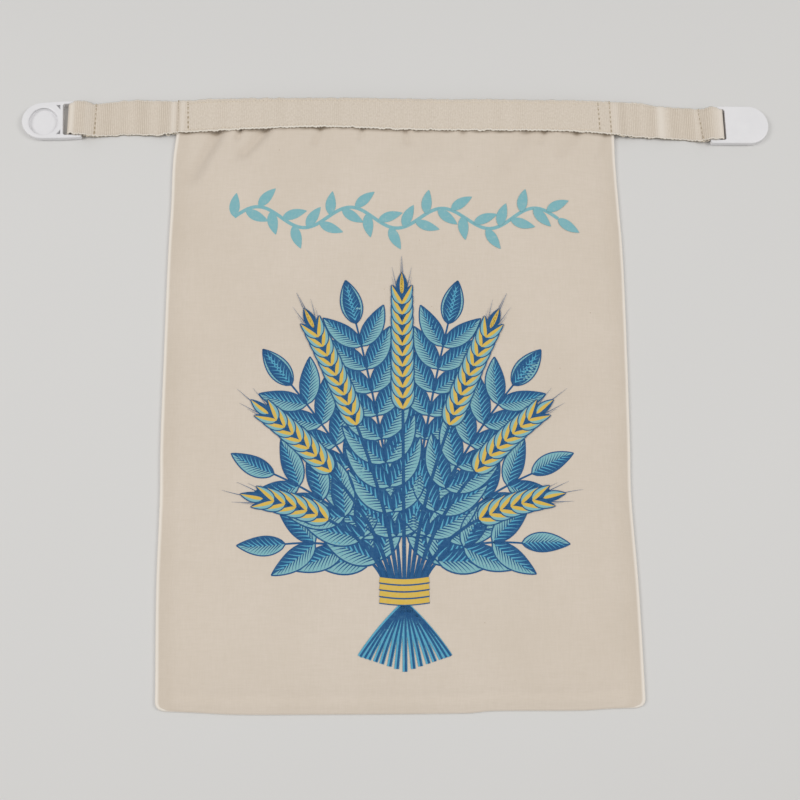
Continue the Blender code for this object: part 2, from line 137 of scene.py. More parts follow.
# Edges of the band along the mouth and of the straps past it, each with its height
Edge = namedtuple("Edge", "across low_up low_height top_up top_height")
BAND_EDGES = (
    Edge(-0.2278, 0.1796, 0.00535, 0.2027, 0.00535),
    Edge(-0.2260, 0.1789, 0.00535, 0.2043, 0.00535),
    Edge(-0.2200, 0.1788, 0.00535, 0.2045, 0.00535),
    Edge(-0.2125, 0.1788, 0.00240, 0.2037, 0.00240),
    Edge(-0.2020, 0.1798, 0.00100, 0.2050, 0.00240),
    Edge(-0.1850, 0.1808, 0.00078, 0.2063, 0.00340),
    Edge(-0.1690, 0.1799, 0.00190, 0.2064, 0.00260),
    Edge(-0.1560, 0.1814, 0.00345, 0.2058, 0.00345),
    Edge(-0.1360, 0.1818, 0.00470, 0.2069, 0.00460),
    Edge(-0.1260, 0.1818, 0.00620, 0.2068, 0.00540),
    Edge(-0.1020, 0.1820, 0.00900, 0.2069, 0.00680),
    Edge(-0.0680, 0.1823, 0.01180, 0.2068, 0.00770),
    Edge(-0.0520, 0.1825, 0.01190, 0.2069, 0.00800),
    Edge(-0.0350, 0.1825, 0.01150, 0.2071, 0.00810),
    Edge(-0.0010, 0.1819, 0.01000, 0.2070, 0.00770),
    Edge(0.0320, 0.1818, 0.00960, 0.2067, 0.00790),
    Edge(0.0660, 0.1818, 0.00980, 0.2069, 0.00810),
    Edge(0.0940, 0.1819, 0.00990, 0.2067, 0.00790),
    Edge(0.1130, 0.1820, 0.00920, 0.2070, 0.00760),
    Edge(0.1340, 0.1821, 0.00690, 0.2073, 0.00630),
    Edge(0.1500, 0.1822, 0.00420, 0.2077, 0.00410),
    Edge(0.1685, 0.1813, 0.00180, 0.2072, 0.00380),
    Edge(0.1855, 0.1804, 0.00200, 0.2051, 0.00240),
    Edge(0.2025, 0.1797, 0.00090, 0.2049, 0.00120),
    Edge(0.2125, 0.1787, 0.00235, 0.2037, 0.00235),
    Edge(0.2186, 0.1788, 0.00535, 0.2036, 0.00535),
    Edge(0.2240, 0.1788, 0.00535, 0.2038, 0.00535),
    Edge(0.22585, 0.1793, 0.00535, 0.2024, 0.00535),
)

# Soft folds: the two ends of each, its rise (below zero it is a trough) and its half width.
# The folds of the loose cloth come first, then the gathers that hang from the band.
Fold = namedtuple("Fold", "x0 y0 x1 y1 rise spread")
FOLD_FADE = 1.3
FOLDS = (
    Fold(-0.131, 0.180, -0.146, 0.146, -0.0014, 0.0075),
    Fold(-0.121, 0.176, -0.130, 0.150, 0.0009, 0.0060),
    Fold(-0.062, 0.162, 0.052, 0.156, 0.0008, 0.0090),
    Fold(0.030, 0.122, 0.088, 0.148, -0.0013, 0.0120),
    Fold(-0.152, 0.004, -0.119, -0.013, -0.0006, 0.0019),
    Fold(-0.152, 0.008, -0.117, -0.009, 0.0005, 0.0026),
    Fold(-0.150, 0.012, -0.112, -0.008, -0.0004, 0.0080),
    Fold(-0.144, -0.078, -0.076, -0.146, -0.0011, 0.0160),
    Fold(0.142, -0.162, 0.146, -0.200, -0.0012, 0.0070),
    Fold(-0.1500, -0.1830, -0.1400, -0.2010, 0.0013, 0.0034),
    Fold(-0.1440, -0.1860, -0.1370, -0.1990, -0.0008, 0.0030),
    Fold(0.104, 0.040, 0.120, 0.036, -0.0010, 0.0120),
    Fold(0.098, 0.010, 0.124, 0.004, 0.0009, 0.0110),
    Fold(-0.071, -0.187, 0.116, -0.189, -0.0002, 0.0014),
)
GATHERS = (
    Fold(-0.1275, 0.1800, -0.1425, 0.1480, -0.0032, 0.0048),
    Fold(-0.1180, 0.1780, -0.1330, 0.1480, 0.0013, 0.0050),
    Fold(-0.1105, 0.1840, -0.1125, 0.1770, -0.0017, 0.0021),
    Fold(-0.0935, 0.1815, -0.1076, 0.1648, -0.0026, 0.0042),
    Fold(-0.0850, 0.1800, -0.0975, 0.1650, 0.0008, 0.0046),
    Fold(-0.0552, 0.1815, -0.0592, 0.1720, -0.0015, 0.0023),
    Fold(-0.0264, 0.1825, -0.0278, 0.1760, -0.0013, 0.0020),
    Fold(0.0038, 0.1820, 0.0046, 0.1735, -0.0016, 0.0023),
    Fold(0.0440, 0.1800, 0.0420, 0.1640, -0.0008, 0.0034),
    Fold(0.0870, 0.1780, 0.0720, 0.1560, -0.0010, 0.0044),
    Fold(0.1010, 0.1820, 0.0980, 0.1750, -0.0010, 0.0022),
    Fold(0.1240, 0.1800, 0.1110, 0.1650, -0.0013, 0.0034),
    Fold(0.1440, 0.1790, 0.1380, 0.1640, -0.0011, 0.0028),
)

# Painted shade where the cloth is tucked in under the band, all along and deeper at each gather
TUCK_IN = 0.0002
TUCK_SPREAD = 0.0010
TUCK_ALONG = 0.42
TUCK_UNEVEN = 1.6
TUCK_WAVE = 0.006
TUCK_GATHERED = 0.26
GATHERED_WIDTH = 0.8
GATHERED_DEPTH = 0.5
FOLD_SHADE = 30.0

# Puckers that the side seams draw in: the seam's side, place up the bag, length, rise, half width
Pucker = namedtuple("Pucker", "side up length rise spread")
PUCKER_END = 3.0
PUCKER_START = 4
PUCKER_FADE = 0.8
PUCKERS = (
    Pucker(1, 0.1105, 0.013, 0.00045, 0.0034),
    Pucker(1, 0.0950, 0.010, -0.00035, 0.0030),
    Pucker(1, 0.0778, 0.014, 0.00040, 0.0032),
    Pucker(1, 0.0560, 0.011, -0.00030, 0.0036),
    Pucker(1, 0.0352, 0.015, 0.00045, 0.0036),
    Pucker(1, 0.0040, 0.014, 0.00040, 0.0040),
    Pucker(1, -0.0420, 0.010, -0.00030, 0.0040),
    Pucker(1, -0.0960, 0.011, 0.00030, 0.0036),
    Pucker(-1, 0.1210, 0.011, -0.00035, 0.0032),
    Pucker(-1, 0.0626, 0.014, -0.00050, 0.0040),
    Pucker(-1, 0.0330, 0.011, 0.00030, 0.0034),
    Pucker(-1, -0.0198, 0.014, -0.00050, 0.0038),
    Pucker(-1, -0.0757, 0.015, -0.00050, 0.0042),
    Pucker(-1, -0.1240, 0.011, 0.00030, 0.0036),
    Pucker(-1, -0.1600, 0.010, -0.00030, 0.0034),
)


def smooth_table(rows, column, at):
    """One column of a table at places along its first column, on a smooth curve."""
    ordered = sorted(rows)
    places = np.array([row[0] for row in ordered])
    values = np.array([getattr(row, column) for row in ordered])
    slopes = np.gradient(values, places)
    slopes[1:-1] = (values[2:] - values[:-2]) / (places[2:] - places[:-2])
    at = np.clip(at, places[0], places[-1])
    index = np.clip(np.searchsorted(places, at, side="right") - 1, 0, len(places) - 2)
    span = places[index + 1] - places[index]
    t = (at - places[index]) / span
    rise = (values[index + 1] - values[index]) / span
    curl = (slopes[index] - rise) * (1 - t) - (slopes[index + 1] - rise) * t
    return values[index] + rise * t * span + t * (1 - t) * span * curl


def smooth_step(value):
    """From 0 to 1 with a soft start and a soft end."""
    value = np.clip(value, 0.0, 1.0)
    return value * value * (3 - 2 * value)


def hump(distance, spread):
    """A soft hump of height one, and of a given half width."""
    return np.exp(-(distance / spread) ** 2)


def fold_rise(fold, x, y):
    """Height that one soft fold adds at each point; it fades out past both of its ends."""
    run_x, run_y = fold.x1 - fold.x0, fold.y1 - fold.y0
    length = math.hypot(run_x, run_y)
    along = ((x - fold.x0) * run_x + (y - fold.y0) * run_y) / length
    aside = ((x - fold.x0) * run_y - (y - fold.y0) * run_x) / length
    past = np.maximum(np.maximum(-along, along - length), 0.0)
    return fold.rise * hump(aside, fold.spread) * hump(past, FOLD_FADE * fold.spread)


def roll_up(distance, reach):
    """Share of the full loft at a distance in from an edge of the bag."""
    return 1 - (1 - np.clip(distance / reach, 0.0, 1.0)) ** ROLL_POWER


def waves(x, y, size, height):
    """Gentle unevenness, the same in each run."""
    flat = [noise.noise(Vector((a / size, b / size, size * 100))) for a, b in zip(x.ravel(), y.ravel())]
    return height * np.array(flat).reshape(x.shape)


def band_height(x, y):
    """Height of the middle of the band over a point of the mouth."""
    low_up, top_up = smooth_table(BAND_EDGES, "low_up", x), smooth_table(BAND_EDGES, "top_up", x)
    share = np.clip((y - low_up) / (top_up - low_up), 0.0, 1.0)
    low_height = smooth_table(BAND_EDGES, "low_height", x)
    return low_height + share * (smooth_table(BAND_EDGES, "top_height", x) - low_height)


def pucker_rise(pucker, x, y, left, right):
    """Height that one pucker adds beside its seam."""
    inward = right - x if pucker.side > 0 else x - left
    reach = np.clip(inward / pucker.length, 0.0, PUCKER_END)
    swell = smooth_step(reach * PUCKER_START) * hump(reach, PUCKER_FADE)
    return pucker.rise * hump(y - pucker.up, pucker.spread) * swell


def front_height(x, y, left, right, bottom):
    """Height of the middle of the front cloth."""
    inward = np.minimum(x - left, right - x)
    lift = roll_up(inward, SIDE_ROLL) * roll_up(y - bottom, BOTTOM_ROLL)
    loft = smooth_table(CROWNS, "loft", y) + sum(fold_rise(fold, x, y) for fold in FOLDS)
    loft = loft + sum(waves(x, y, size, height) for size, height in WAVES)
    near_edge = np.minimum(inward, y - bottom)
    lap = SEAM_LAP_RISE * hump(near_edge - SEAM_LAP_IN, SEAM_LAP_SPREAD)
    trough = SEAM_TROUGH * hump(near_edge - SEAM_TROUGH_IN, SEAM_TROUGH_SPREAD)
    drawn = sum(pucker_rise(pucker, x, y, left, right) for pucker in PUCKERS)
    body = CLOTH_THICK / 2 + SEAM_RISE + lift * loft + lap - trough + drawn

    low_edge = smooth_table(BAND_EDGES, "low_up", x)
    under_band = band_height(x, y) - (WEB_THICK + CLOTH_THICK) / 2 - PIECE_GAP
    held = smooth_step((y - low_edge + BAND_BLEND) / BAND_BLEND)
    dip = SEWN_DIP * lift * hump(y - low_edge + SEWN_DIP_DOWN, SEWN_DIP_SPREAD)
    gather = lift * sum(fold_rise(fold, x, y) for fold in GATHERS)
    return body + held * (under_band - body) - dip + gather


def tuck_shade(x, y):
    """How much painted shade the cloth gets along the band's lower edge and in the gathers' troughs."""
    below = smooth_table(BAND_EDGES, "low_up", x) - y
    uneven = waves(x[-1:], 0 * x[-1:], TUCK_WAVE, 1.0)
    gathered = sum(hump(x[-1:] - fold.x0, GATHERED_WIDTH * fold.spread)
                   for fold in GATHERS if fold.rise < 0)
    depth = np.clip(TUCK_ALONG * (1 + TUCK_UNEVEN * uneven) + TUCK_GATHERED * gathered, 0.0, 1.0)
    folds = FOLD_SHADE * sum(np.maximum(-fold_rise(fold, x, y), 0.0) for fold in GATHERS)
    return depth * hump(below - TUCK_IN, TUCK_SPREAD * (1 + GATHERED_DEPTH * gathered)) + folds


def crowded(count, crowding):
    """Places from -1 to 1, closer together towards both ends."""
    return np.sin(np.linspace(-crowding, crowding, count + 1)) / math.sin(crowding)


def row_levels(lowest, highest):
    """Levels of the grid's rows, as close together as the table of steps asks."""
    fine = np.linspace(lowest, highest, LEVELS_TRIED)
    steps = np.interp(fine, [row.up for row in ROW_STEPS], [row.step for row in ROW_STEPS])
    counted = np.concatenate([[0.0], np.cumsum(np.diff(fine) / ((steps[1:] + steps[:-1]) / 2))])
    return np.interp(np.linspace(0.0, counted[-1], round(counted[-1]) + 1), counted, fine)


def cloth_mesh():
    """The sack as the middle surface of its cloth, with distance from the side seams, and painted shade."""
    lowest = min(row.up for row in BOTTOM_FOLD)
    level = row_levels(lowest, MOUTH_UP)[:, None]
    up = (level - lowest) / (MOUTH_UP - lowest)
    across = crowded(CLOTH_COLUMNS, COLUMN_CROWDING)[None, :]
    left = smooth_table(SEAMS, "left", level) + EDGE_INSET
    right = smooth_table(SEAMS, "right", level) - EDGE_INSET
    middle, half = (left + right) / 2, (right - left) / 2
    bottom = smooth_table(BOTTOM_FOLD, "up", middle + half * across) + EDGE_INSET
    y = bottom + (MOUTH_UP - bottom) * up
    down = np.clip(1 - (y - bottom) / CORNER_ROUND, 0.0, 1.0)
    narrowed = half - CORNER_ROUND * (1 - np.sqrt(1 - down ** 2))
    x = middle + narrowed * across
    front = np.dstack([x, y, front_height(x, y, middle - narrowed, middle + narrowed, bottom)])

    # the turned edge runs down the left seam, along the bottom fold and up the right seam
    rows, columns = x.shape
    number = numbered(x)
    edge = np.concatenate([number[::-1, 0], number[0, 1:-1], number[:, -1]])
    upper = front.reshape(-1, 3)[edge]
    lower = upper * (1.0, 1.0, 0.0) + (0.0, 0.0, CLOTH_THICK / 2)
    run = np.gradient(upper[:, :2], axis=0)
    run /= np.linalg.norm(run, axis=1)[:, None]
    outward = np.stack([run[:, 1], -run[:, 0], np.zeros(len(edge))], axis=1)
    rings = []
    for k in range(1, EDGE_STEPS + 1):
        turn = math.pi * k / (EDGE_STEPS + 1)
        share = (1 - math.cos(turn)) / 2
        rings.append(upper + (lower - upper) * share + outward * SEAM_BULGE * math.sin(turn))

    loops = [edge] + [rows * columns + k * len(edge) + np.arange(len(edge)) for k in range(EDGE_STEPS + 1)]
    faces = grid_faces(number)
    for above, below in zip(loops, loops[1:]):
        faces += grid_faces(np.stack([below, above]))

    # the back lies flat, so a few wide faces make it: one margin down each side, and the middle
    left_side, right_side = loops[-1][:rows][::-1], loops[-1][-rows:]
    bottom_side = loops[-1][rows:-rows]
    inner = rows * columns + (EDGE_STEPS + 1) * len(edge) + np.arange(2 * (rows - 1)).reshape(2, -1)
    margins = np.array([BACK_MARGIN, 1 - BACK_MARGIN])[:, None, None]
    laid = lower[:rows][::-1][1:] * (1 - margins) + lower[-rows:][1:] * margins
    lines = [left_side[1:], inner[0], inner[1], right_side[1:]]
    faces.append([left_side[0], left_side[1], inner[0, 0], inner[1, 0], right_side[1], right_side[0]]
                 + bottom_side[::-1].tolist())
    for here, there in zip(lines, lines[1:]):
        faces += grid_faces(np.stack([here, there]))
    points = np.concatenate([front.reshape(-1, 3), *rings, lower, laid.reshape(-1, 3)])
    from_seam = np.zeros(len(points))
    from_seam[:front[:, :, 0].size] = (narrowed * (1 - np.abs(across))).ravel()
    from_seam[-laid[:, :, 0].size:] = BACK_MARGIN * 2 * half.mean()
    tucked = np.zeros(len(points))
    tucked[:front[:, :, 0].size] = tuck_shade(x, y).ravel()
    return points, faces, from_seam, tucked


def numbered(grid, first=0):
    """Numbers of a grid's points, row by row, counted on from a first one."""
    rows, columns = grid.shape[:2]
    return first + np.arange(rows * columns).reshape(rows, columns)


def grid_faces(number):
    """Four-sided faces between the numbered points of a grid."""
    corners = (number[:-1, :-1], number[:-1, 1:], number[1:, 1:], number[1:, :-1])
    return np.stack([corner.ravel() for corner in corners], axis=1).tolist()


def placed(name, data):
    """A new object in the scene that holds a mesh, a light or a camera."""
    holder = bpy.data.objects.new(name, data)
    bpy.context.scene.collection.objects.link(holder)
    return holder


def piece_from(name, points, faces, finish=None, edges=()):
    """A piece with these points and faces, or a bare line with these edges."""
    mesh = bpy.data.meshes.new(name)
    mesh.from_pydata(np.asarray(points).tolist(), edges, faces)
    mesh.shade_smooth()
    if finish:
        mesh.materials.append(finish)
    return placed(name, mesh)


def made_plain(piece):
    """Turn a piece's modifiers into its plain mesh."""
    bpy.context.view_layer.update()
    shaped = piece.evaluated_get(bpy.context.evaluated_depsgraph_get())
    mesh = bpy.data.meshes.new_from_object(shaped)
    mesh.name = piece.name
    piece.modifiers.clear()
    piece.data = mesh
    return piece


def linear(hex_colour):
    """An sRGB hex colour as the linear colour that a socket takes."""
    channels = [int(hex_colour[i:i + 2], 16) / 255 for i in (1, 3, 5)]
    return tuple(c / 12.92 if c <= 0.04045 else ((c + 0.055) / 1.055) ** 2.4 for c in channels) + (1.0,)


def feed(tree, node, inputs):
    """Give each named input of a node its value, or its link from a socket."""
    for key, value in inputs.items():
        if isinstance(value, bpy.types.NodeSocket):
            tree.links.new(value, node.inputs[key])
        else:
            node.inputs[key].default_value = value


def add_node(tree, kind, inputs=None, **settings):
    """Add a node with its inputs and its settings."""
    node = tree.nodes.new(kind)
    for name, value in settings.items():
        setattr(node, name, value)
    feed(tree, node, inputs or {})
    return node


def new_finish(name):
    """An empty finish: its node tree and its shader."""
    finish = bpy.data.materials.new(name)
    finish.use_nodes = True
    return finish, finish.node_tree, finish.node_tree.nodes["Principled BSDF"]


# Plain weave of the canvas: about 14 threads to the centimetre each way
THREAD_SPACING = 0.0007
WAVE_UNIT = 0.31416


def canvas_weave(tree, place):
    """Height of the canvas's weave, and the share of thick threads, as two sockets."""
    warp = add_node(tree, "ShaderNodeTexWave", {
        "Vector": place, "Scale": WAVE_UNIT / THREAD_SPACING, "Distortion": 0.6, "Detail": 1.0,
        "Detail Scale": 0.02}, bands_direction='X')
    weft = add_node(tree, "ShaderNodeTexWave", {
        "Vector": place, "Scale": WAVE_UNIT / THREAD_SPACING, "Distortion": 0.6, "Detail": 1.0,
        "Detail Scale": 0.02}, bands_direction='Y')
    crossed = add_node(tree, "ShaderNodeMath", {
        0: warp.outputs["Fac"], 1: weft.outputs["Fac"]}, operation='MULTIPLY')
    # thick and thin threads run the length and the width of the cloth as faint streaks
    long_way = add_node(tree, "ShaderNodeMapping", {"Vector": place, "Scale": (1200, 130, 60)})
    cross_way = add_node(tree, "ShaderNodeMapping", {"Vector": place, "Scale": (130, 1200, 60)})
    warp_slubs = add_node(tree, "ShaderNodeTexNoise", {
        "Vector": long_way.outputs[0], "Scale": 1.0, "Detail": 2.0})
    weft_slubs = add_node(tree, "ShaderNodeTexNoise", {
        "Vector": cross_way.outputs[0], "Scale": 1.0, "Detail": 2.0})
    slubs = add_node(tree, "ShaderNodeMath", {
        0: warp_slubs.outputs["Fac"], 1: weft_slubs.outputs["Fac"]}, operation='ADD')
    height = add_node(tree, "ShaderNodeMath", {0: crossed.outputs[0], 1: slubs.outputs[0]}, operation='ADD')
    return height.outputs[0], slubs.outputs[0]


def make_canvas():
    """Unbleached cotton canvas, plain woven: warm pale grey, matt, with flecks of seed husk."""
    finish, tree, shader = new_finish("unbleached cotton canvas")
    place = add_node(tree, "ShaderNodeTexCoord").outputs["Object"]
    height, slubs = canvas_weave(tree, place)
    tone = add_node(tree, "ShaderNodeMapRange", {"Value": slubs, "From Min": 0.7, "From Max": 1.3})
    cotton = add_node(tree, "ShaderNodeMix", {
        0: tone.outputs[0], 6: linear("#D6CABB"), 7: linear("#DBCFC1")}, data_type='RGBA')
    # soft patches where the cloth has been handled
    cloudy = add_node(tree, "ShaderNodeTexNoise", {"Vector": place, "Scale": 16.0, "Detail": 3.0})
    patch = add_node(tree, "ShaderNodeMapRange", {
        "Value": cloudy.outputs["Fac"], "From Min": 0.35, "From Max": 0.75, "To Max": 0.35})
    handled = add_node(tree, "ShaderNodeMix", {
        0: patch.outputs[0], 6: cotton.outputs[2], 7: linear("#CDC0AF")}, data_type='RGBA')
    # the side seams are paler along their edge, from wear and a painted highlight, with painted shade
    # behind it
    from_seam = add_node(tree, "ShaderNodeAttribute", attribute_name="from_seam")
    lit_seam_edge = add_node(tree, "ShaderNodeMapRange", {
        "Value": from_seam.outputs["Fac"], "From Min": 0.0002, "From Max": 0.0017, "To Min": 0.80,
        "To Max": 0.0})
    behind = add_node(tree, "ShaderNodeMapRange", {
        "Value": from_seam.outputs["Fac"], "From Min": 0.0070, "From Max": 0.0125, "To Min": 0.14,
        "To Max": 0.0})
    shaded = add_node(tree, "ShaderNodeMix", {
        0: behind.outputs[0], 6: handled.outputs[2], 7: linear("#BCAE9B")}, data_type='RGBA')
    # painted shade where the cloth tucks under the band and in the gathers
    tucked = add_node(tree, "ShaderNodeAttribute", attribute_name="tucked")
    deep = add_node(tree, "ShaderNodeMix", {
        0: tucked.outputs["Fac"], 6: shaded.outputs[2], 7: linear("#7F6F5B")}, data_type='RGBA')
    worn_and_lit = add_node(tree, "ShaderNodeMix", {
        0: lit_seam_edge.outputs[0], 6: deep.outputs[2], 7: linear("#F3ECE2")}, data_type='RGBA')
    # flecks of seed husk, each about half a millimetre, far apart
    fleck = add_node(tree, "ShaderNodeTexVoronoi", {"Vector": place, "Scale": 62.0, "Randomness": 1.0})
    fleck_size = add_node(tree, "ShaderNodeMapRange", {
        "Value": fleck.outputs["Distance"], "From Min": 0.012, "From Max": 0.030, "To Min": 0.55,
        "To Max": 0.0})
    flecked = add_node(tree, "ShaderNodeMix", {
        0: fleck_size.outputs[0], 6: worn_and_lit.outputs[2], 7: linear("#9C8263")}, data_type='RGBA')
    bump = add_node(tree, "ShaderNodeBump", {"Strength": 0.25, "Distance": 0.00012, "Height": height})
    feed(tree, shader, {
        "Base Color": flecked.outputs[2], "Normal": bump.outputs[0], "Roughness": 0.93,
        "Specular IOR Level": 0.25, "Sheen Weight": 0.12, "Sheen Roughness": 0.55})
    return finish


def keep_values(piece, name, values):
    """Store one number for each point of a piece."""
    stored = piece.data.attributes.new(name, 'FLOAT', 'POINT')
    stored.data.foreach_set("value", np.asarray(values, np.float32).ravel())


cloth_points, cloth_faces, cloth_from_seam, cloth_tucked = cloth_mesh()
sack = piece_from("canvas_sack", cloth_points, cloth_faces, make_canvas())
keep_values(sack, "from_seam", cloth_from_seam)
keep_values(sack, "tucked", cloth_tucked)
shell = sack.modifiers.new("cloth thickness", 'SOLIDIFY')
shell.thickness = CLOTH_THICK
shell.offset = 0.0
shell.use_even_offset = True
made_plain(sack)
sack.data.shade_smooth()
sack.data.set_sharp_from_angle(angle=CREASE_ANGLE)
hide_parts("sack")
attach(sack, "root")

# The webbing is one narrow-woven cotton tape with cross ribs. It is sewn along the mouth over
# the hem and runs on past both seams. Each end goes round a clip's bar and is sewn back on itself.
RIB_PITCH = 0.0013
RIB_HEIGHT = 0.00011
STEPS_PER_RIB = 4
WEB_WIDTH = 0.0245
WEB_ACROSS = 14
WEB_CROWDING = math.radians(72)
WEB_STEP = 0.0004
TAIL_STEPS = 40
BAR_LEVEL = 0.00315
UNDER_BAR = 0.00095
LOOP_WIDTH = 0.0230
LOOP_STEPS = 24
SELVEDGE = 0.0011
EDGE_WOBBLE = 0.00036
BEAD_PITCH = 0.0028
LOW_BEADS, TOP_BEADS = 0.00042, 0.00026
LOW_SEED, TOP_SEED = 3.0, 8.0
WOBBLE_WAVE = 0.005

# The beads come a little early or late, and some are bigger than others
BEAD_SHIFT, BEAD_SHIFT_WAVE = 2.5, 0.004
BEAD_EVEN, BEAD_UNEVEN, BEAD_SIZE_WAVE = 0.55, 0.45, 0.007

# How clear the ribs are: weaker where the tape lies sewn over the hem, and uneven all along
BAND_RIBS = 0.35
BAND_HALF = 0.152
BAND_FADE = 0.004
RIB_CLEAR, RIB_UNEVEN, RIB_WAVE, RIB_SEED = 0.8, 0.7, 0.008, 12.0
RIB_LEAST, RIB_MOST = 0.2, 1.4
RIB_DRIFT, DRIFT_WAVE, DRIFT_SEED = 0.00030, 0.006, 21.0
PALE_SMOOTHS = 0.5

# Past this distance from the middle the tape has two layers
TWO_LAYERS_FROM = 0.2

# Places where the tape stands up or bends: its ribs are smoothed there, and a painted highlight makes it
# paler
Pale = namedtuple("Pale", "across amount spread rise")
HIGHLIGHT_PLACES = (
    Pale(-0.1578, 0.70, 0.0018, 0.00040),
    Pale(-0.1514, 0.60, 0.0016, 0.00035),
    Pale(0.1520, 0.45, 0.0026, 0.00030),
    Pale(0.1845, 0.90, 0.0034, 0.00030),
    Pale(0.2080, 0.45, 0.0024, 0.00010),
    Pale(-0.2170, 0.35, 0.0026, 0.00010),
    Pale(-0.2276, 0.95, 0.0018, 0.00000),
    Pale(0.2262, 0.85, 0.0022, 0.00000),
    Pale(0.2225, 0.35, 0.0022, 0.00000),
)

# Under layer of an end, from its sewn tail to the loop: distance back from the loop, height, width
Tail = namedtuple("Tail", "back height width")
TAILS = (
    Tail(0.0200, 0.00068, 0.0242),
    Tail(0.0150, 0.00068, 0.0242),
    Tail(0.0110, 0.00068, 0.0240),
    Tail(0.0080, UNDER_BAR, LOOP_WIDTH),
    Tail(0.0055, UNDER_BAR, LOOP_WIDTH),
    Tail(0.0030, UNDER_BAR, LOOP_WIDTH),
)

# Rows of sewing, in shares of the webbing's width: where each starts and ends
Row = namedtuple("Row", "x0 share0 x1 share1 groove")
LONG_ROWS = (
    Row(-0.1480, 0.890, 0.1486, 0.890, 0.00014),
    Row(-0.1470, 0.085, 0.1486, 0.085, 0.00014),
)
SEAM_ROWS = (
    Row(-0.1546, 0.03, -0.1547, 0.97, 0.00065),
)
CROSS_ROWS = (
    Row(0.1484, 0.04, 0.1480, 0.96, 0.00044),
    Row(-0.1472, 0.09, -0.1480, 0.89, 0.00020),
    Row(0.1400, 0.09, 0.1396, 0.89, 0.00020),
    Row(-0.2122, 0.05, -0.2118, 0.95, 0.00046),
    Row(0.2138, 0.05, 0.2119, 0.95, 0.00046),
)
GROOVE_SPREAD = 0.0010


def end_route(fold_x, inward):
    """One end's under layer and loop, up to the upper layer: its lower and its top edge."""
    ordered = sorted(TAILS)
    backs = np.linspace(TAILS[0].back, 0.0, TAIL_STEPS)
    places = [tail.back for tail in ordered]
    x = fold_x + inward * backs
    height = np.interp(backs, places, [tail.height for tail in ordered])
    width = np.interp(backs, places, [tail.width for tail in ordered])
    low, top = (smooth_table(BAND_EDGES, side, x) for side in ("low_up", "top_up"))
    loop_low, loop_top = (float(smooth_table(BAND_EDGES, side, fold_x)) for side in ("low_up", "top_up"))
    narrowed = np.interp(backs, (TAILS[3].back, TAILS[2].back), (1.0, 0.0))
    middle = (low + top) / 2 * (1 - narrowed) + (loop_low + loop_top) / 2 * narrowed
    turns = np.linspace(0, math.pi, LOOP_STEPS, endpoint=False)
    radius = BAR_LEVEL - UNDER_BAR
    x = np.concatenate([x, fold_x - inward * radius * np.sin(turns)])
    height = np.concatenate([height, BAR_LEVEL - radius * np.cos(turns)])
    edges = []
    for side, loop_up in ((-1, loop_low), (1, loop_top)):
        y = np.concatenate([middle + side * width / 2, np.full(LOOP_STEPS, loop_up)])
        edges.append(np.stack([x, y, height], axis=1))
    return edges


def strip_lines():
    """Lower and top edge of the webbing's middle surface, from tail to tail, in even small steps."""
    first, last = BAND_EDGES[0].across, BAND_EDGES[-1].across
    across = np.arange(first, last, WEB_STEP)
    edges = []
    for side, left, right in zip(("low", "top"), end_route(first, 1), end_route(last, -1)):
        y = smooth_table(BAND_EDGES, side + "_up", across)
        upper = smooth_table(BAND_EDGES, side + "_height", across)
        edges.append(np.concatenate([left, np.stack([across, y, upper], axis=1), right[::-1]]))
    middle = (edges[0] + edges[1]) / 2
    steps = np.linalg.norm(np.diff(middle, axis=0), axis=1)
    along = np.concatenate([[0.0], np.cumsum(steps)])
    even = np.arange(0.0, along[-1], RIB_PITCH / STEPS_PER_RIB)
    low, top = [np.stack([np.interp(even, along, edge[:, k]) for k in range(3)], axis=1) for edge in edges]
    return low, top, even


def row_groove(row, x, share):
    """How deep a row of sewing pulls the webbing in at each point."""
    x_range, share_range = row.x1 - row.x0, (row.share1 - row.share0) * WEB_WIDTH
    length = math.hypot(x_range, share_range)
    from_x, from_y = x - row.x0, (share - row.share0) * WEB_WIDTH
    along = (from_x * x_range + from_y * share_range) / length
    aside = (from_x * share_range - from_y * x_range) / length
    within = (along > 0) & (along < length)
    return row.groove * hump(aside, GROOVE_SPREAD) * within


def uneven_line(along, size, seed):
    """Smooth unevenness from -1 to 1 along the strip, the same in each run."""
    return np.array([noise.noise(Vector((s / size, 0.0, seed))) for s in along]) * 2


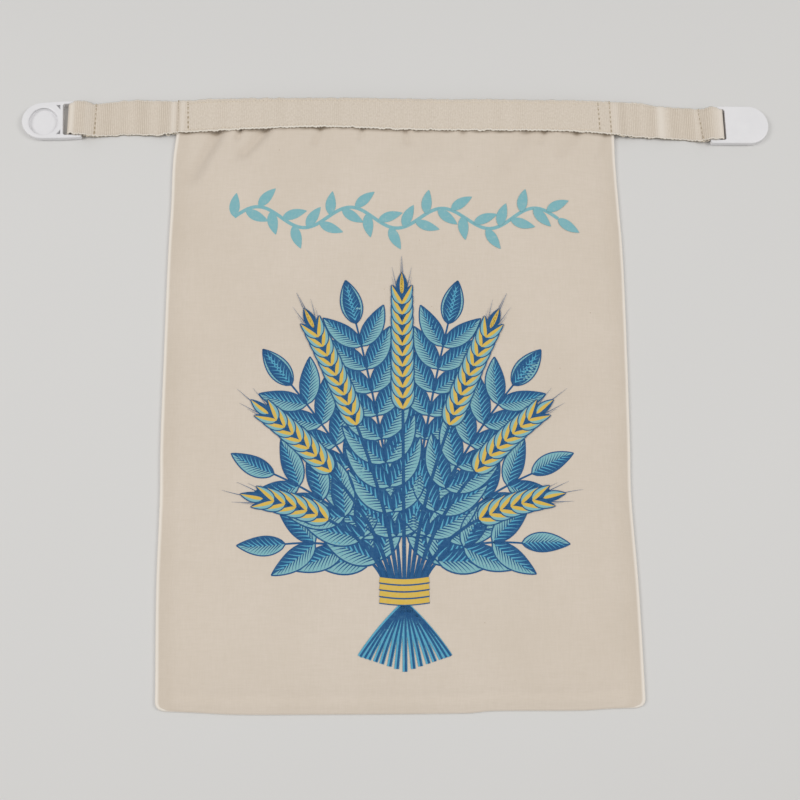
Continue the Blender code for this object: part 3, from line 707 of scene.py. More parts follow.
def webbing_surface():
    """Middle surface of the webbing, with each point's place on the strip, rib strength and painted
    highlight.
    """
    low, top, along = strip_lines()
    up = np.array([0.0, 1.0, 0.0])
    for edge, seed, outward in ((low, LOW_SEED, -LOW_BEADS), (top, TOP_SEED, TOP_BEADS)):
        shift = BEAD_SHIFT * uneven_line(along, BEAD_SHIFT_WAVE, seed + 1)
        beads = np.sin(2 * math.pi * along / BEAD_PITCH + shift)
        beads = beads * (BEAD_EVEN + BEAD_UNEVEN * uneven_line(along, BEAD_SIZE_WAVE, seed + 2))
        edge += up * (EDGE_WOBBLE * uneven_line(along, WOBBLE_WAVE, seed) + outward * beads)[:, None]
    share = ((crowded(WEB_ACROSS, WEB_CROWDING) + 1) / 2)[None, :, None]
    points = low[:, None, :] + (top - low)[:, None, :] * share
    share = np.broadcast_to(share[:, :, 0], points.shape[:2])
    x = points[:, :, 0]
    upper = (points[:, :, 2] > UNDER_BAR + WEB_THICK / 2) | (np.abs(x) < TWO_LAYERS_FROM)
    for row in LONG_ROWS + SEAM_ROWS + CROSS_ROWS:
        points[:, :, 2] -= row_groove(row, x, share) * upper
    # painted highlight at each place where the tape stands up or bends
    spots = [hump(x - place.across, place.spread) for place in HIGHLIGHT_PLACES]
    pale = sum(place.amount * spot for place, spot in zip(HIGHLIGHT_PLACES, spots)) * upper
    points[:, :, 2] += sum(place.rise * spot for place, spot in zip(HIGHLIGHT_PLACES, spots)) * upper
    ribs = 1 - (1 - BAND_RIBS) * smooth_step((BAND_HALF - np.abs(x)) / BAND_FADE)
    clearness = RIB_CLEAR + RIB_UNEVEN * uneven_line(along, RIB_WAVE, RIB_SEED)
    clearness = np.clip(clearness, RIB_LEAST, RIB_MOST)[:, None]
    ribs = ribs * clearness * (1 - PALE_SMOOTHS * np.clip(pale, 0, 1))
    to_edge = np.minimum(share, 1 - share) * WEB_WIDTH
    to_end = np.minimum(along, along[-1] - along)[:, None]
    rounded = np.clip(np.minimum(to_edge, to_end) / SELVEDGE, 0.0, 1.0)
    fullness = np.sqrt(1 - (1 - rounded) ** 2)
    ribs_at = along + RIB_DRIFT * uneven_line(along, DRIFT_WAVE, DRIFT_SEED)
    place = np.dstack([np.broadcast_to(ribs_at[:, None], share.shape), share * WEB_WIDTH, fullness])
    return points, place, ribs, pale, float(along[-1])


def new_shaping(name, inputs):
    """An empty geometry tree with named inputs: the tree, its inputs and its output node."""
    tree = bpy.data.node_groups.new(name, 'GeometryNodeTree')
    tree.is_modifier = True
    tree.interface.new_socket("Geometry", in_out='INPUT', socket_type='NodeSocketGeometry')
    tree.interface.new_socket("Geometry", in_out='OUTPUT', socket_type='NodeSocketGeometry')
    for socket_name, kind in inputs.items():
        tree.interface.new_socket(socket_name, in_out='INPUT', socket_type=kind)
    return tree, tree.nodes.new("NodeGroupInput").outputs, tree.nodes.new("NodeGroupOutput")


def shape_with(piece, tree, values):
    """Run a geometry tree on a piece with these values, and keep the result as its plain mesh."""
    shaping = piece.modifiers.new(tree.name, 'NODES')
    shaping.node_group = tree
    for socket in tree.interface.items_tree:
        if socket.in_out == 'INPUT' and socket.name in values:
            shaping[socket.identifier] = values[socket.name]
    return made_plain(piece)


def ribbed_webbing_tree():
    """Gives a strip its thickness and its cross ribs, and closes it along its edges."""
    tree, given, result = new_shaping("ribbed webbing", {
        "Thickness": 'NodeSocketFloat', "Rib Pitch": 'NodeSocketFloat',
        "Rib Height": 'NodeSocketFloat', "Finish": 'NodeSocketMaterial'})
    place = add_node(tree, "GeometryNodeInputNamedAttribute", {
        "Name": "strip_place"}, data_type='FLOAT_VECTOR')
    parts = add_node(tree, "ShaderNodeSeparateXYZ", {0: place.outputs[0]})
    ribs_in = add_node(tree, "ShaderNodeMath", {
        0: parts.outputs["X"], 1: given["Rib Pitch"]}, operation='DIVIDE')
    turns = add_node(tree, "ShaderNodeMath", {0: ribs_in.outputs[0], 1: 2 * math.pi}, operation='MULTIPLY')
    wave = add_node(tree, "ShaderNodeMath", {0: turns.outputs[0]}, operation='SINE')
    half = add_node(tree, "ShaderNodeMath", {0: given["Thickness"], 1: 0.5}, operation='MULTIPLY')
    strength = add_node(tree, "GeometryNodeInputNamedAttribute", {"Name": "rib_strength"},
                        data_type='FLOAT')
    relief = add_node(tree, "ShaderNodeMath", {
        0: strength.outputs[0], 1: given["Rib Height"]}, operation='MULTIPLY')
    ribbed = add_node(tree, "ShaderNodeMath", {
        0: wave.outputs[0], 1: relief.outputs[0], 2: half.outputs[0]}, operation='MULTIPLY_ADD')
    depth = add_node(tree, "ShaderNodeMath", {
        0: ribbed.outputs[0], 1: parts.outputs["Z"]}, operation='MULTIPLY')
    normal = add_node(tree, "GeometryNodeInputNormal")
    outward = add_node(tree, "ShaderNodeVectorMath", {
        0: normal.outputs[0], "Scale": depth.outputs[0]}, operation='SCALE')
    inward = add_node(tree, "ShaderNodeVectorMath", {
        0: outward.outputs[0], "Scale": -1.0}, operation='SCALE')
    face = add_node(tree, "GeometryNodeSetPosition", {
        "Geometry": given["Geometry"], "Offset": outward.outputs[0]})
    rear = add_node(tree, "GeometryNodeSetPosition", {
        "Geometry": given["Geometry"], "Offset": inward.outputs[0]})
    turned = add_node(tree, "GeometryNodeFlipFaces", {0: rear.outputs[0]})
    joined = add_node(tree, "GeometryNodeJoinGeometry")
    tree.links.new(face.outputs[0], joined.inputs[0])
    tree.links.new(turned.outputs[0], joined.inputs[0])
    closed = add_node(tree, "GeometryNodeMergeByDistance", {
        "Geometry": joined.outputs[0], "Distance": 0.000004})
    real = add_node(tree, "GeometryNodeRealizeInstances", {0: closed.outputs[0]})
    dressed = add_node(tree, "GeometryNodeSetMaterial", {
        "Geometry": real.outputs[0], "Material": given["Finish"]})
    tree.links.new(dressed.outputs[0], result.inputs[0])
    return tree


def make_webbing_finish():
    """Ribbed cotton tape: painted shade between the ribs, and selvedges paler by their yarn and a painted
    highlight.
    """
    finish, tree, shader = new_finish("ribbed cotton webbing")
    place = add_node(tree, "ShaderNodeAttribute", attribute_name="strip_place")
    parts = add_node(tree, "ShaderNodeSeparateXYZ", {0: place.outputs["Vector"]})
    strength = add_node(tree, "ShaderNodeAttribute", attribute_name="rib_strength")
    pale = add_node(tree, "ShaderNodeAttribute", attribute_name="paleness")
    turns = add_node(tree, "ShaderNodeMath", {
        0: parts.outputs["X"], 1: 2 * math.pi / RIB_PITCH}, operation='MULTIPLY')
    wave = add_node(tree, "ShaderNodeMath", {0: turns.outputs[0]}, operation='SINE')
    # each rib is a little paler or darker than the next, and cloudy along its length
    streaks = add_node(tree, "ShaderNodeMapping", {
        "Vector": place.outputs["Vector"], "Scale": (1000, 560, 1)})
    uneven = add_node(tree, "ShaderNodeTexNoise", {
        "Vector": streaks.outputs[0], "Scale": 1.0, "Detail": 3.0})
    # painted shade in the gaps between the ribs
    rib = add_node(tree, "ShaderNodeMapRange", {
        "Value": wave.outputs[0], "From Min": -1.0, "From Max": 0.3, "To Min": 1.0, "To Max": 0.0})
    rib_gap_shade = add_node(tree, "ShaderNodeMath", {
        0: rib.outputs[0], 1: strength.outputs["Fac"]}, operation='MULTIPLY', use_clamp=True)
    cotton = add_node(tree, "ShaderNodeMix", {
        0: rib_gap_shade.outputs[0], 6: linear("#DFD4C6"), 7: linear("#C6B9A8")}, data_type='RGBA')
    tone = add_node(tree, "ShaderNodeMapRange", {
        "Value": uneven.outputs["Fac"], "From Min": 0.36, "From Max": 0.70, "To Max": 0.70})
    mottled = add_node(tree, "ShaderNodeMix", {
        0: tone.outputs[0], 6: cotton.outputs[2], 7: linear("#CDC0AF")}, data_type='RGBA')
    # painted highlight where the tape stands up or bends
    lit_bends = add_node(tree, "ShaderNodeMix", {
        0: pale.outputs["Fac"], 6: mottled.outputs[2], 7: linear("#E6DDD1")}, data_type='RGBA')
    # the selvedges are paler: their own yarn, and a painted highlight on the rounded edge
    selvedge = add_node(tree, "ShaderNodeMapRange", {
        "Value": parts.outputs["Z"], "From Min": 0.99, "From Max": 0.80, "To Max": 0.85})
    lit_selvedge = add_node(tree, "ShaderNodeMix", {
        0: selvedge.outputs[0], 6: lit_bends.outputs[2], 7: linear("#F6F0E5")}, data_type='RGBA')
    # painted shade on the underside of a selvedge, where it faces down
    facing = add_node(tree, "ShaderNodeSeparateXYZ", {
        0: add_node(tree, "ShaderNodeNewGeometry").outputs["Normal"]})
    under = add_node(tree, "ShaderNodeMapRange", {
        "Value": facing.outputs["Z"], "From Min": 0.55, "From Max": 0.05})
    underside_shade = add_node(tree, "ShaderNodeMath", {
        0: under.outputs[0], 1: selvedge.outputs[0]}, operation='MULTIPLY')
    shaded = add_node(tree, "ShaderNodeMix", {
        0: underside_shade.outputs[0], 6: lit_selvedge.outputs[2], 7: linear("#AD9D86")}, data_type='RGBA')
    # fine yarns run the length of the tape, and knobbly weft crosses them
    yarns = add_node(tree, "ShaderNodeMath", {
        0: parts.outputs["Y"], 1: 2 * math.pi / 0.0008}, operation='MULTIPLY')
    yarn_wave = add_node(tree, "ShaderNodeMath", {0: yarns.outputs[0]}, operation='SINE')
    crossed = add_node(tree, "ShaderNodeMath", {
        0: yarn_wave.outputs[0], 1: wave.outputs[0]}, operation='MULTIPLY')
    knobs = add_node(tree, "ShaderNodeTexNoise", {
        "Vector": place.outputs["Vector"], "Scale": 1100.0, "Detail": 2.0})
    rough = add_node(tree, "ShaderNodeMath", {
        0: knobs.outputs["Fac"], 1: 3.0, 2: crossed.outputs[0]}, operation='MULTIPLY_ADD')
    bump = add_node(tree, "ShaderNodeBump", {
        "Strength": 0.45, "Distance": 0.00012, "Height": rough.outputs[0]})
    feed(tree, shader, {
        "Base Color": shaded.outputs[2], "Normal": bump.outputs[0], "Roughness": 0.92,
        "Specular IOR Level": 0.25, "Sheen Weight": 0.15, "Sheen Roughness": 0.5})
    return finish


web_points, web_place, web_ribs, web_highlight, web_length = webbing_surface()
webbing = piece_from("ribbed_webbing", web_points.reshape(-1, 3), grid_faces(numbered(web_points).T))
strip_place = webbing.data.attributes.new("strip_place", 'FLOAT_VECTOR', 'POINT')
strip_place.data.foreach_set("vector", web_place.astype(np.float32).ravel())
keep_values(webbing, "rib_strength", web_ribs)
keep_values(webbing, "paleness", web_highlight)
shape_with(webbing, ribbed_webbing_tree(), {
    "Thickness": WEB_THICK, "Rib Pitch": RIB_PITCH, "Rib Height": RIB_HEIGHT,
    "Finish": make_webbing_finish()})
webbing.data.shade_smooth()
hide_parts("webbing")
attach(webbing, "root")

# The sewing is thick ivory cotton thread in lockstitch. Two long rows hold the band to the hem,
# and short rows across it hold the side seams and the turned ends of the straps.
THREAD_WIDTH = 0.00055
THREAD_FLAT = 0.8
THREAD_LIFT = 0.00004
HOLE_LIFT = 0.00009
HOLE_HEIGHT = 0.00014
SEWN_STEP = 0.002
SEWN_STEPS_LEAST = 8
RAY_FROM = 0.05

# Stitches of each kind of row: pitch and length of a stitch, and size of the painted shade of the hole
# between two
Sewn = namedtuple("Sewn", "pitch stitch hole_length hole_width")
LONG_SEWN = Sewn(0.0027, 0.0021, 0.0004, 0.0003)
SEAM_SEWN = Sewn(0.0026, 0.0007, 0.0032, 0.0010)
CROSS_SEWN = Sewn(0.0033, 0.0014, 0.0026, 0.0010)


def stitch_tree():
    """Lays one small form after another along a line: a stitch of thread, or the painted shade of a
    needle's hole.
    """
    tree, given, result = new_shaping("stitches", {
        "Pitch": 'NodeSocketFloat', "Shift": 'NodeSocketFloat', "Length": 'NodeSocketFloat',
        "Width": 'NodeSocketFloat', "Height": 'NodeSocketFloat', "Finish": 'NodeSocketMaterial'})
    line = add_node(tree, "GeometryNodeMeshToCurve", {0: given["Geometry"]})
    trimmed = add_node(tree, "GeometryNodeTrimCurve", {
        "Curve": line.outputs[0], "Start_001": given["Shift"], "End_001": 10.0}, mode='LENGTH')
    even = add_node(tree, "GeometryNodeResampleCurve", {
        "Curve": trimmed.outputs[0], "Length": given["Pitch"]}, mode='LENGTH')
    tangent = add_node(tree, "GeometryNodeInputTangent")
    turned = add_node(tree, "FunctionNodeAlignRotationToVector", {"Vector": tangent.outputs[0]}, axis='X')
    uneven = add_node(tree, "FunctionNodeRandomValue", {
        "Min": (0.85, 0.85, 0.85), "Max": (1.1, 1.15, 1.1), "Seed": 5}, data_type='FLOAT_VECTOR')
    size = add_node(tree, "ShaderNodeCombineXYZ", {
        "X": given["Length"], "Y": given["Width"], "Z": given["Height"]})
    scale = add_node(tree, "ShaderNodeVectorMath", {
        0: size.outputs[0], 1: uneven.outputs[0]}, operation='MULTIPLY')
    form = add_node(tree, "GeometryNodeMeshUVSphere", {"Segments": 8, "Rings": 5, "Radius": 0.5})
    laid = add_node(tree, "GeometryNodeInstanceOnPoints", {
        "Points": even.outputs[0], "Instance": form.outputs[0], "Rotation": turned.outputs[0],
        "Scale": scale.outputs[0]})
    real = add_node(tree, "GeometryNodeRealizeInstances", {0: laid.outputs[0]})
    smooth = add_node(tree, "GeometryNodeSetShadeSmooth", {0: real.outputs[0]})
    dressed = add_node(tree, "GeometryNodeSetMaterial", {
        "Geometry": smooth.outputs[0], "Material": given["Finish"]})
    tree.links.new(dressed.outputs[0], result.inputs[0])
    return tree


def surface_of(piece):
    """A piece's faces, ready to be hit by rays."""
    return BVHTree.FromPolygons([vert.co.copy() for vert in piece.data.vertices],
                                [list(face.vertices) for face in piece.data.polygons])


def drop_onto(surface, x, y, lift):
    """The point on a surface under a place, raised by a small lift."""
    hit = surface.ray_cast(Vector((x, y, RAY_FROM)), Vector((0, 0, -1)))[0]
    return (x, y, hit.z + lift)


def sewn_line(rows, surface, lift):
    """Lines of points on the webbing along rows of sewing, as one mesh of edges."""
    points, edges = [], []
    for row in rows:
        count = max(SEWN_STEPS_LEAST, round(abs(row.x1 - row.x0) / SEWN_STEP))
        for k in range(count + 1):
            share = k / count
            x = row.x0 + (row.x1 - row.x0) * share
            low, top = (float(smooth_table(BAND_EDGES, side, x)) for side in ("low_up", "top_up"))
            y = low + (top - low) * (row.share0 + (row.share1 - row.share0) * share)
            points.append(drop_onto(surface, x, y, lift))
            if k:
                edges.append((len(points) - 2, len(points) - 1))
    return points, edges


def lay_rows(name, rows, surface, lift, tree, values):
    """Lay one kind of stitch or hole along rows of sewing."""
    points, edges = sewn_line(rows, surface, lift)
    return shape_with(piece_from(name, points, [], edges=edges), tree, values)


def make_thread():
    """Ivory cotton sewing thread, two-ply: a little shinier than the webbing, with a fine twist."""
    finish, tree, shader = new_finish("ivory cotton thread")
    place = add_node(tree, "ShaderNodeTexCoord").outputs["Object"]
    twist = add_node(tree, "ShaderNodeTexWave", {
        "Vector": place, "Scale": WAVE_UNIT / 0.0004, "Distortion": 1.0}, bands_direction='DIAGONAL')
    shade = add_node(tree, "ShaderNodeMix", {
        0: twist.outputs["Fac"], 6: linear("#D8CBB6"), 7: linear("#E9DECC")}, data_type='RGBA')
    bump = add_node(tree, "ShaderNodeBump", {
        "Strength": 0.3, "Distance": 0.00005, "Height": twist.outputs["Fac"]})
    feed(tree, shader, {"Base Color": shade.outputs[2], "Normal": bump.outputs[0], "Roughness": 0.7})
    return finish


def make_hole_shade(name, dark, light):
    """Painted shade for a needle's hole, where the yarns are pushed apart: a dark flat form laid on the
    webbing.
    """
    finish, tree, shader = new_finish(name)
    place = add_node(tree, "ShaderNodeTexCoord").outputs["Object"]
    uneven = add_node(tree, "ShaderNodeTexNoise", {"Vector": place, "Scale": 900.0, "Detail": 1.0})
    shade = add_node(tree, "ShaderNodeMix", {
        0: uneven.outputs["Fac"], 6: linear(dark), 7: linear(light)}, data_type='RGBA')
    feed(tree, shader, {"Base Color": shade.outputs[2], "Roughness": 1.0, "Specular IOR Level": 0.1})
    return finish


web_surface = surface_of(webbing)
stitches = stitch_tree()
thread = make_thread()
deep_shade = make_hole_shade("deeply shaded yarn", "#8B7B63", "#AA9A83")
soft_shade = make_hole_shade("softly shaded yarn", "#A39379", "#BBAD97")
sewing = []
for kind, rows, sewn, hole_shade in (("long", LONG_ROWS, LONG_SEWN, soft_shade),
                                     ("seam", SEAM_ROWS, SEAM_SEWN, deep_shade),
                                     ("cross", CROSS_ROWS, CROSS_SEWN, soft_shade)):
    sewing.append(lay_rows(kind + "_stitches", rows, web_surface, THREAD_LIFT, stitches, {
        "Pitch": sewn.pitch, "Shift": 0.0, "Length": sewn.stitch, "Width": THREAD_WIDTH,
        "Height": THREAD_WIDTH * THREAD_FLAT, "Finish": thread}))
    # each needle hole is a small dark form of painted shade laid on the webbing
    sewing.append(lay_rows(kind + "_holes", rows, web_surface, HOLE_LIFT, stitches, {
        "Pitch": sewn.pitch, "Shift": sewn.pitch / 2, "Length": sewn.hole_length, "Width": sewn.hole_width,
        "Height": HOLE_HEIGHT, "Finish": hole_shade}))

# Yarn ends that have worked loose at the band's lower edge: start, drop, sideways run
Fray = namedtuple("Fray", "x drop run")
FRAYS = (
    Fray(-0.2172, 0.0011, 0.0022), Fray(-0.2158, 0.0014, -0.0016), Fray(-0.1628, 0.0014, 0.0030),
    Fray(-0.1606, 0.0019, -0.0016), Fray(-0.1590, 0.0012, 0.0026), Fray(-0.1566, 0.0016, 0.0018),
    Fray(0.1528, 0.0012, 0.0034), Fray(0.1556, 0.0018, 0.0020), Fray(0.1585, 0.0014, -0.0026),
    Fray(0.1612, 0.0016, 0.0030), Fray(0.1648, 0.0010, 0.0022), Fray(0.2128, 0.0013, 0.0024),
    Fray(0.2149, 0.0017, -0.0018), Fray(0.2160, 0.0010, 0.0020),
)
FRAY_STEPS = 8
FRAY_WIDTH = 0.00042
FRAY_INSET = 0.0005
FRAY_LIFT = 0.00010
FRAY_SINK = 0.0006
FRAY_ARC_FROM, FRAY_ARC = 0.12, 0.80
FRAY_ROOT, FRAY_TIP = 0.4, 0.6


def loose_yarn(fray):
    """One loose yarn: a narrow strip that leaves the lower edge and curls back towards it."""
    t = np.linspace(0, 1, FRAY_STEPS + 1)
    edge = float(smooth_table(BAND_EDGES, "low_up", fray.x))
    x = fray.x + fray.run * t
    arc = np.sin(math.pi * (FRAY_ARC_FROM + FRAY_ARC * t)) * (FRAY_ROOT + FRAY_TIP * t)
    y = edge + FRAY_INSET - (fray.drop + FRAY_INSET) * arc
    level = drop_onto(web_surface, fray.x, edge + 2 * FRAY_INSET, FRAY_LIFT)[2]
    return [[(px, py + side * FRAY_WIDTH / 2, level - FRAY_SINK * step) for px, py, step in zip(x, y, t)]
            for side in (-1, 1)]


def turn_up(piece):
    """Make every face of a thin flat piece look up."""
    shape = bmesh.new()
    shape.from_mesh(piece.data)
    shape.normal_update()
    bmesh.ops.reverse_faces(shape, faces=[face for face in shape.faces if face.normal.z < 0])
    shape.to_mesh(piece.data)
    shape.free()


fray_points, fray_faces = [], []
for fray in FRAYS:
    strip = np.array(loose_yarn(fray))
    fray_faces += grid_faces(numbered(strip, len(fray_points)))
    fray_points += strip.reshape(-1, 3).tolist()
sewing.append(piece_from("loose_yarns", fray_points, fray_faces, thread))
turn_up(sewing[-1])
for piece in sewing:
    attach(piece, "root")

# The clip halves are injection-moulded from white plastic with a soft gloss. At the left is the
# socket, a ring round a shallow recess, and at the right the tab. Each has a slot and a bar for a strap.
CLIP_HEIGHT = 0.0044
SLOT_WIDTH = 0.0236
SLOT_CORNER = 0.0011
BAR_HEIGHT = 0.0025
ARM_CORNER = 0.001
ARC_STEPS = 64
ROUND_STEPS = 5
ROUND_ANGLE = math.radians(40)
SHARP_ANGLE = math.radians(32)
CUT_PAST = 0.002

# The socket clip lies turned a little about a point of its bar
SOCKET_UP = 0.1911
SOCKET_TURN = math.radians(3.0)
SOCKET_PIVOT = -0.2265
SOCKET_CENTRE = -0.2474
SOCKET_END = 0.0147
SOCKET_RING_WIDTH = 0.0270
SOCKET_ARMS_WIDTH = 0.0278
SOCKET_ARM_END = 0.0261
SOCKET_BAR_FROM = 0.0206
SOCKET_WALL_FROM = 0.0118
SOCKET_WALL_TO = 0.0134
RECESS_DROP = 0.0008
POCKET_DEPTH = 0.0022
POCKET_LENGTH = 0.0030
POCKET_WIDTH = 0.0036
POCKET_MARGIN = 0.0028
SOCKET_ROUND = 0.0008

TAB_UP = 0.1908
TAB_WIDTH = 0.0284
TAB_ARM_END = 0.2189
TAB_BAR_TO = 0.2250
TAB_BODY_FROM = 0.2300
TAB_ROUND_END = 0.2607
TAB_ROUND = 0.0013

# Section of the socket's recess, from its middle out, past a fine step and up to the rounded rim
Ring = namedtuple("Ring", "radius height")
RECESS = (
    Ring(0.0086, 0.00150),
    Ring(0.0091, 0.00157),
    Ring(0.0095, 0.00185),
    Ring(0.0098, 0.00250),
    Ring(0.0100, 0.00350),
    Ring(0.0101, 0.00400),
    Ring(0.0104, 0.00425),
    Ring(0.0108, 0.00437),
    Ring(0.0113, 0.00442),
)

# A shallow groove under the rim, for the other half's snap ring: it shows on the far side
GROOVE_RADIUS = 0.0103
GROOVE_SHIFT = 0.00045
GROOVE_TURN = math.radians(58)
GROOVE = (Ring(GROOVE_RADIUS, 0.00275), Ring(GROOVE_RADIUS, 0.00385))
GROOVE_CAP = 0.0001


def arc_points(centre_x, centre_y, radius_x, radius_y, start, end):
    """Points along part of an oval, the angles in degrees."""
    angles = np.radians(np.linspace(start, end, ARC_STEPS + 1))
    return list(zip(centre_x + radius_x * np.cos(angles), centre_y + radius_y * np.sin(angles)))


def prism(name, outline, low, high, finish=None):
    """A solid of one flat outline, which runs anticlockwise, between two heights."""
    count = len(outline)
    points = [(x, y, low) for x, y in outline] + [(x, y, high) for x, y in outline]
    faces = [list(range(count))[::-1], list(range(count, 2 * count))]
    faces += [[k, (k + 1) % count, (k + 1) % count + count, k + count] for k in range(count)]
    return piece_from(name, points, faces, finish)


def lathe(name, centre, rings, top):
    """A round cutter: a flat end, rings of points, and a flat end above them."""
    angles = np.linspace(0, 2 * math.pi, 2 * ARC_STEPS, endpoint=False)
    rings = list(rings) + [Ring(rings[-1].radius, top)]
    points = [(centre[0] + ring.radius * math.cos(a), centre[1] + ring.radius * math.sin(a), ring.height)
              for ring in rings for a in angles]
    count = len(angles)
    faces = [list(range(count))[::-1], [(len(rings) - 1) * count + k for k in range(count)]]
    for r in range(len(rings) - 1):
        faces += [[r * count + k, r * count + (k + 1) % count, (r + 1) * count + (k + 1) % count,
                   (r + 1) * count + k] for k in range(count)]
    return piece_from(name, points, faces)


def swing(outline):
    """Turn an outline as the socket clip lies, about a point of its bar."""
    cosine, sine = math.cos(SOCKET_TURN), math.sin(SOCKET_TURN)
    offsets = [(x - SOCKET_PIVOT, y - SOCKET_UP) for x, y in outline]
    return [(SOCKET_PIVOT + x * cosine - y * sine, SOCKET_UP + x * sine + y * cosine) for x, y in offsets]


def bar_cutters(slot_up, bar_from, bar_to, open_end, place=list):
    """Cutters that leave a bar between the arms: a slot beside it, and room under it."""
    low_up, high_up = slot_up - SLOT_WIDTH / 2, slot_up + SLOT_WIDTH / 2
    way = math.copysign(1, open_end - bar_to)
    slot = [(bar_to, low_up), (open_end - way * SLOT_CORNER, low_up), (open_end, low_up + SLOT_CORNER),
            (open_end, high_up - SLOT_CORNER), (open_end - way * SLOT_CORNER, high_up), (bar_to, high_up)]
    start, end = bar_from - way * CUT_PAST, (bar_to + open_end) / 2
    under = [(start, low_up), (end, low_up), (end, high_up), (start, high_up)]
    turn = int(way)
    return [prism("slot", place(slot)[::turn], -CUT_PAST, CLIP_HEIGHT + CUT_PAST),
            prism("under", place(under)[::turn], -CUT_PAST, BAR_LEVEL - BAR_HEIGHT / 2)]


def moulded(clip, edge_round, cutters):
    """Round a clip's outer edges, take its hollows out and keep the result as its plain mesh."""
    bevel = clip.modifiers.new("moulded edges", 'BEVEL')
    bevel.width = edge_round
    bevel.segments = ROUND_STEPS
    bevel.limit_method = 'ANGLE'
    bevel.angle_limit = ROUND_ANGLE
    for cutter in cutters:
        cut = clip.modifiers.new(cutter.name, 'BOOLEAN')
        cut.operation = 'DIFFERENCE'
        cut.solver = 'EXACT'
        cut.object = cutter
    made_plain(clip)
    for cutter in cutters:
        bpy.data.objects.remove(cutter)
    clip.data.shade_smooth()
    clip.data.set_sharp_from_angle(angle=SHARP_ANGLE)
    return clip


def make_plastic():
    """White acetal, moulded against a polished tool: soft gloss over a faint ripple, fine scratches."""
    finish, tree, shader = new_finish("white moulded acetal")
    place = add_node(tree, "ShaderNodeTexCoord").outputs["Object"]
    flow = add_node(tree, "ShaderNodeTexNoise", {"Vector": place, "Scale": 120.0, "Detail": 2.0})
    tint = add_node(tree, "ShaderNodeMix", {
        0: flow.outputs["Fac"], 6: linear("#E2E1E3"), 7: linear("#E9E8E9")}, data_type='RGBA')
    wear = add_node(tree, "ShaderNodeTexNoise", {"Vector": place, "Scale": 700.0, "Detail": 4.0})
    gloss = add_node(tree, "ShaderNodeMapRange", {
        "Value": wear.outputs["Fac"], "From Min": 0.3, "From Max": 0.7, "To Min": 0.28, "To Max": 0.40})
    bump = add_node(tree, "ShaderNodeBump", {
        "Strength": 0.10, "Distance": 0.0001, "Height": flow.outputs["Fac"]})
    feed(tree, shader, {
        "Base Color": tint.outputs[2], "Roughness": gloss.outputs[0], "Normal": bump.outputs[0],
        "IOR": 1.48, "Subsurface Weight": 0.08, "Subsurface Radius": (0.001, 0.001, 0.001)})
    return finish


plastic = make_plastic()

half_ring, half_arms = SOCKET_RING_WIDTH / 2, SOCKET_ARMS_WIDTH / 2
arm_end, shoulder = SOCKET_CENTRE + SOCKET_ARM_END, SOCKET_CENTRE + SOCKET_WALL_FROM
socket_outline = arc_points(SOCKET_CENTRE, SOCKET_UP, SOCKET_END, half_ring, 90, 270)
socket_outline += [(shoulder, SOCKET_UP - half_arms), (arm_end - ARM_CORNER, SOCKET_UP - half_arms)]
socket_outline += [(arm_end, SOCKET_UP - half_arms + ARM_CORNER),
                   (arm_end, SOCKET_UP + half_arms - ARM_CORNER)]
socket_outline += [(arm_end - ARM_CORNER, SOCKET_UP + half_arms), (shoulder, SOCKET_UP + half_arms)]
socket_clip = prism("socket_clip", swing(socket_outline), 0.0, CLIP_HEIGHT, plastic)
recess_centre = swing([(SOCKET_CENTRE, SOCKET_UP - RECESS_DROP)])[0]
groove_centre = (recess_centre[0] + GROOVE_SHIFT * math.cos(GROOVE_TURN),
                 recess_centre[1] + GROOVE_SHIFT * math.sin(GROOVE_TURN))
socket_cutters = [lathe("recess", recess_centre, RECESS, CLIP_HEIGHT + CUT_PAST),
                  lathe("groove", groove_centre, GROOVE, GROOVE[-1].height + GROOVE_CAP)]
for side in (1, -1):
    corner_up = SOCKET_UP + side * (half_arms - POCKET_MARGIN)
    pocket = [(shoulder, corner_up), (shoulder - POCKET_LENGTH, corner_up),
              (shoulder, corner_up - side * POCKET_WIDTH)]
    socket_cutters.append(prism("pocket", swing(pocket)[::side], CLIP_HEIGHT - POCKET_DEPTH,
                                CLIP_HEIGHT + CUT_PAST))
socket_cutters += bar_cutters(SOCKET_UP, arm_end, SOCKET_CENTRE + SOCKET_BAR_FROM,
                              SOCKET_CENTRE + SOCKET_WALL_TO, swing)
moulded(socket_clip, SOCKET_ROUND, socket_cutters)
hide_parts("clip_socket")

half_tab = TAB_WIDTH / 2
tab_outline = arc_points(TAB_ROUND_END - half_tab, TAB_UP, half_tab, half_tab, -90, 90)
tab_outline += [(TAB_ARM_END + ARM_CORNER, TAB_UP + half_tab),
                (TAB_ARM_END, TAB_UP + half_tab - ARM_CORNER),
                (TAB_ARM_END, TAB_UP - half_tab + ARM_CORNER),
                (TAB_ARM_END + ARM_CORNER, TAB_UP - half_tab)]
tab_clip = prism("tab_clip", tab_outline, 0.0, CLIP_HEIGHT, plastic)
moulded(tab_clip, TAB_ROUND, bar_cutters(TAB_UP, TAB_ARM_END, TAB_BAR_TO, TAB_BODY_FROM))
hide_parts("clip_tab")
for clip in (socket_clip, tab_clip):
    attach(clip, "root")

# The print is a plain country ornament, screened on the front in four inks: a sheaf of leafy
# sprigs and ears of wheat, with a garland over it. Each ink lies thin over the weave.
INK_LIFT = 0.00006
INK_STEP = 0.000004
LEAF_STEP = 3 * INK_STEP
LEAF_TIMES = np.linspace(0.0, 1.0, 15)
LEAF_SWELL = 0.85

# Veins of a leaf, in shares of its length: where the first starts, how far the starts spread,
# how far each runs on to its end, the last place for an end, its share of the half width, its bow
VEINS_FROM, VEINS_SPREAD, VEIN_LEAN, VEIN_LAST, VEIN_REACH, VEIN_BOW = 0.08, 0.74, 0.17, 0.97, 0.90, 0.012
VEIN_STEPS = 5


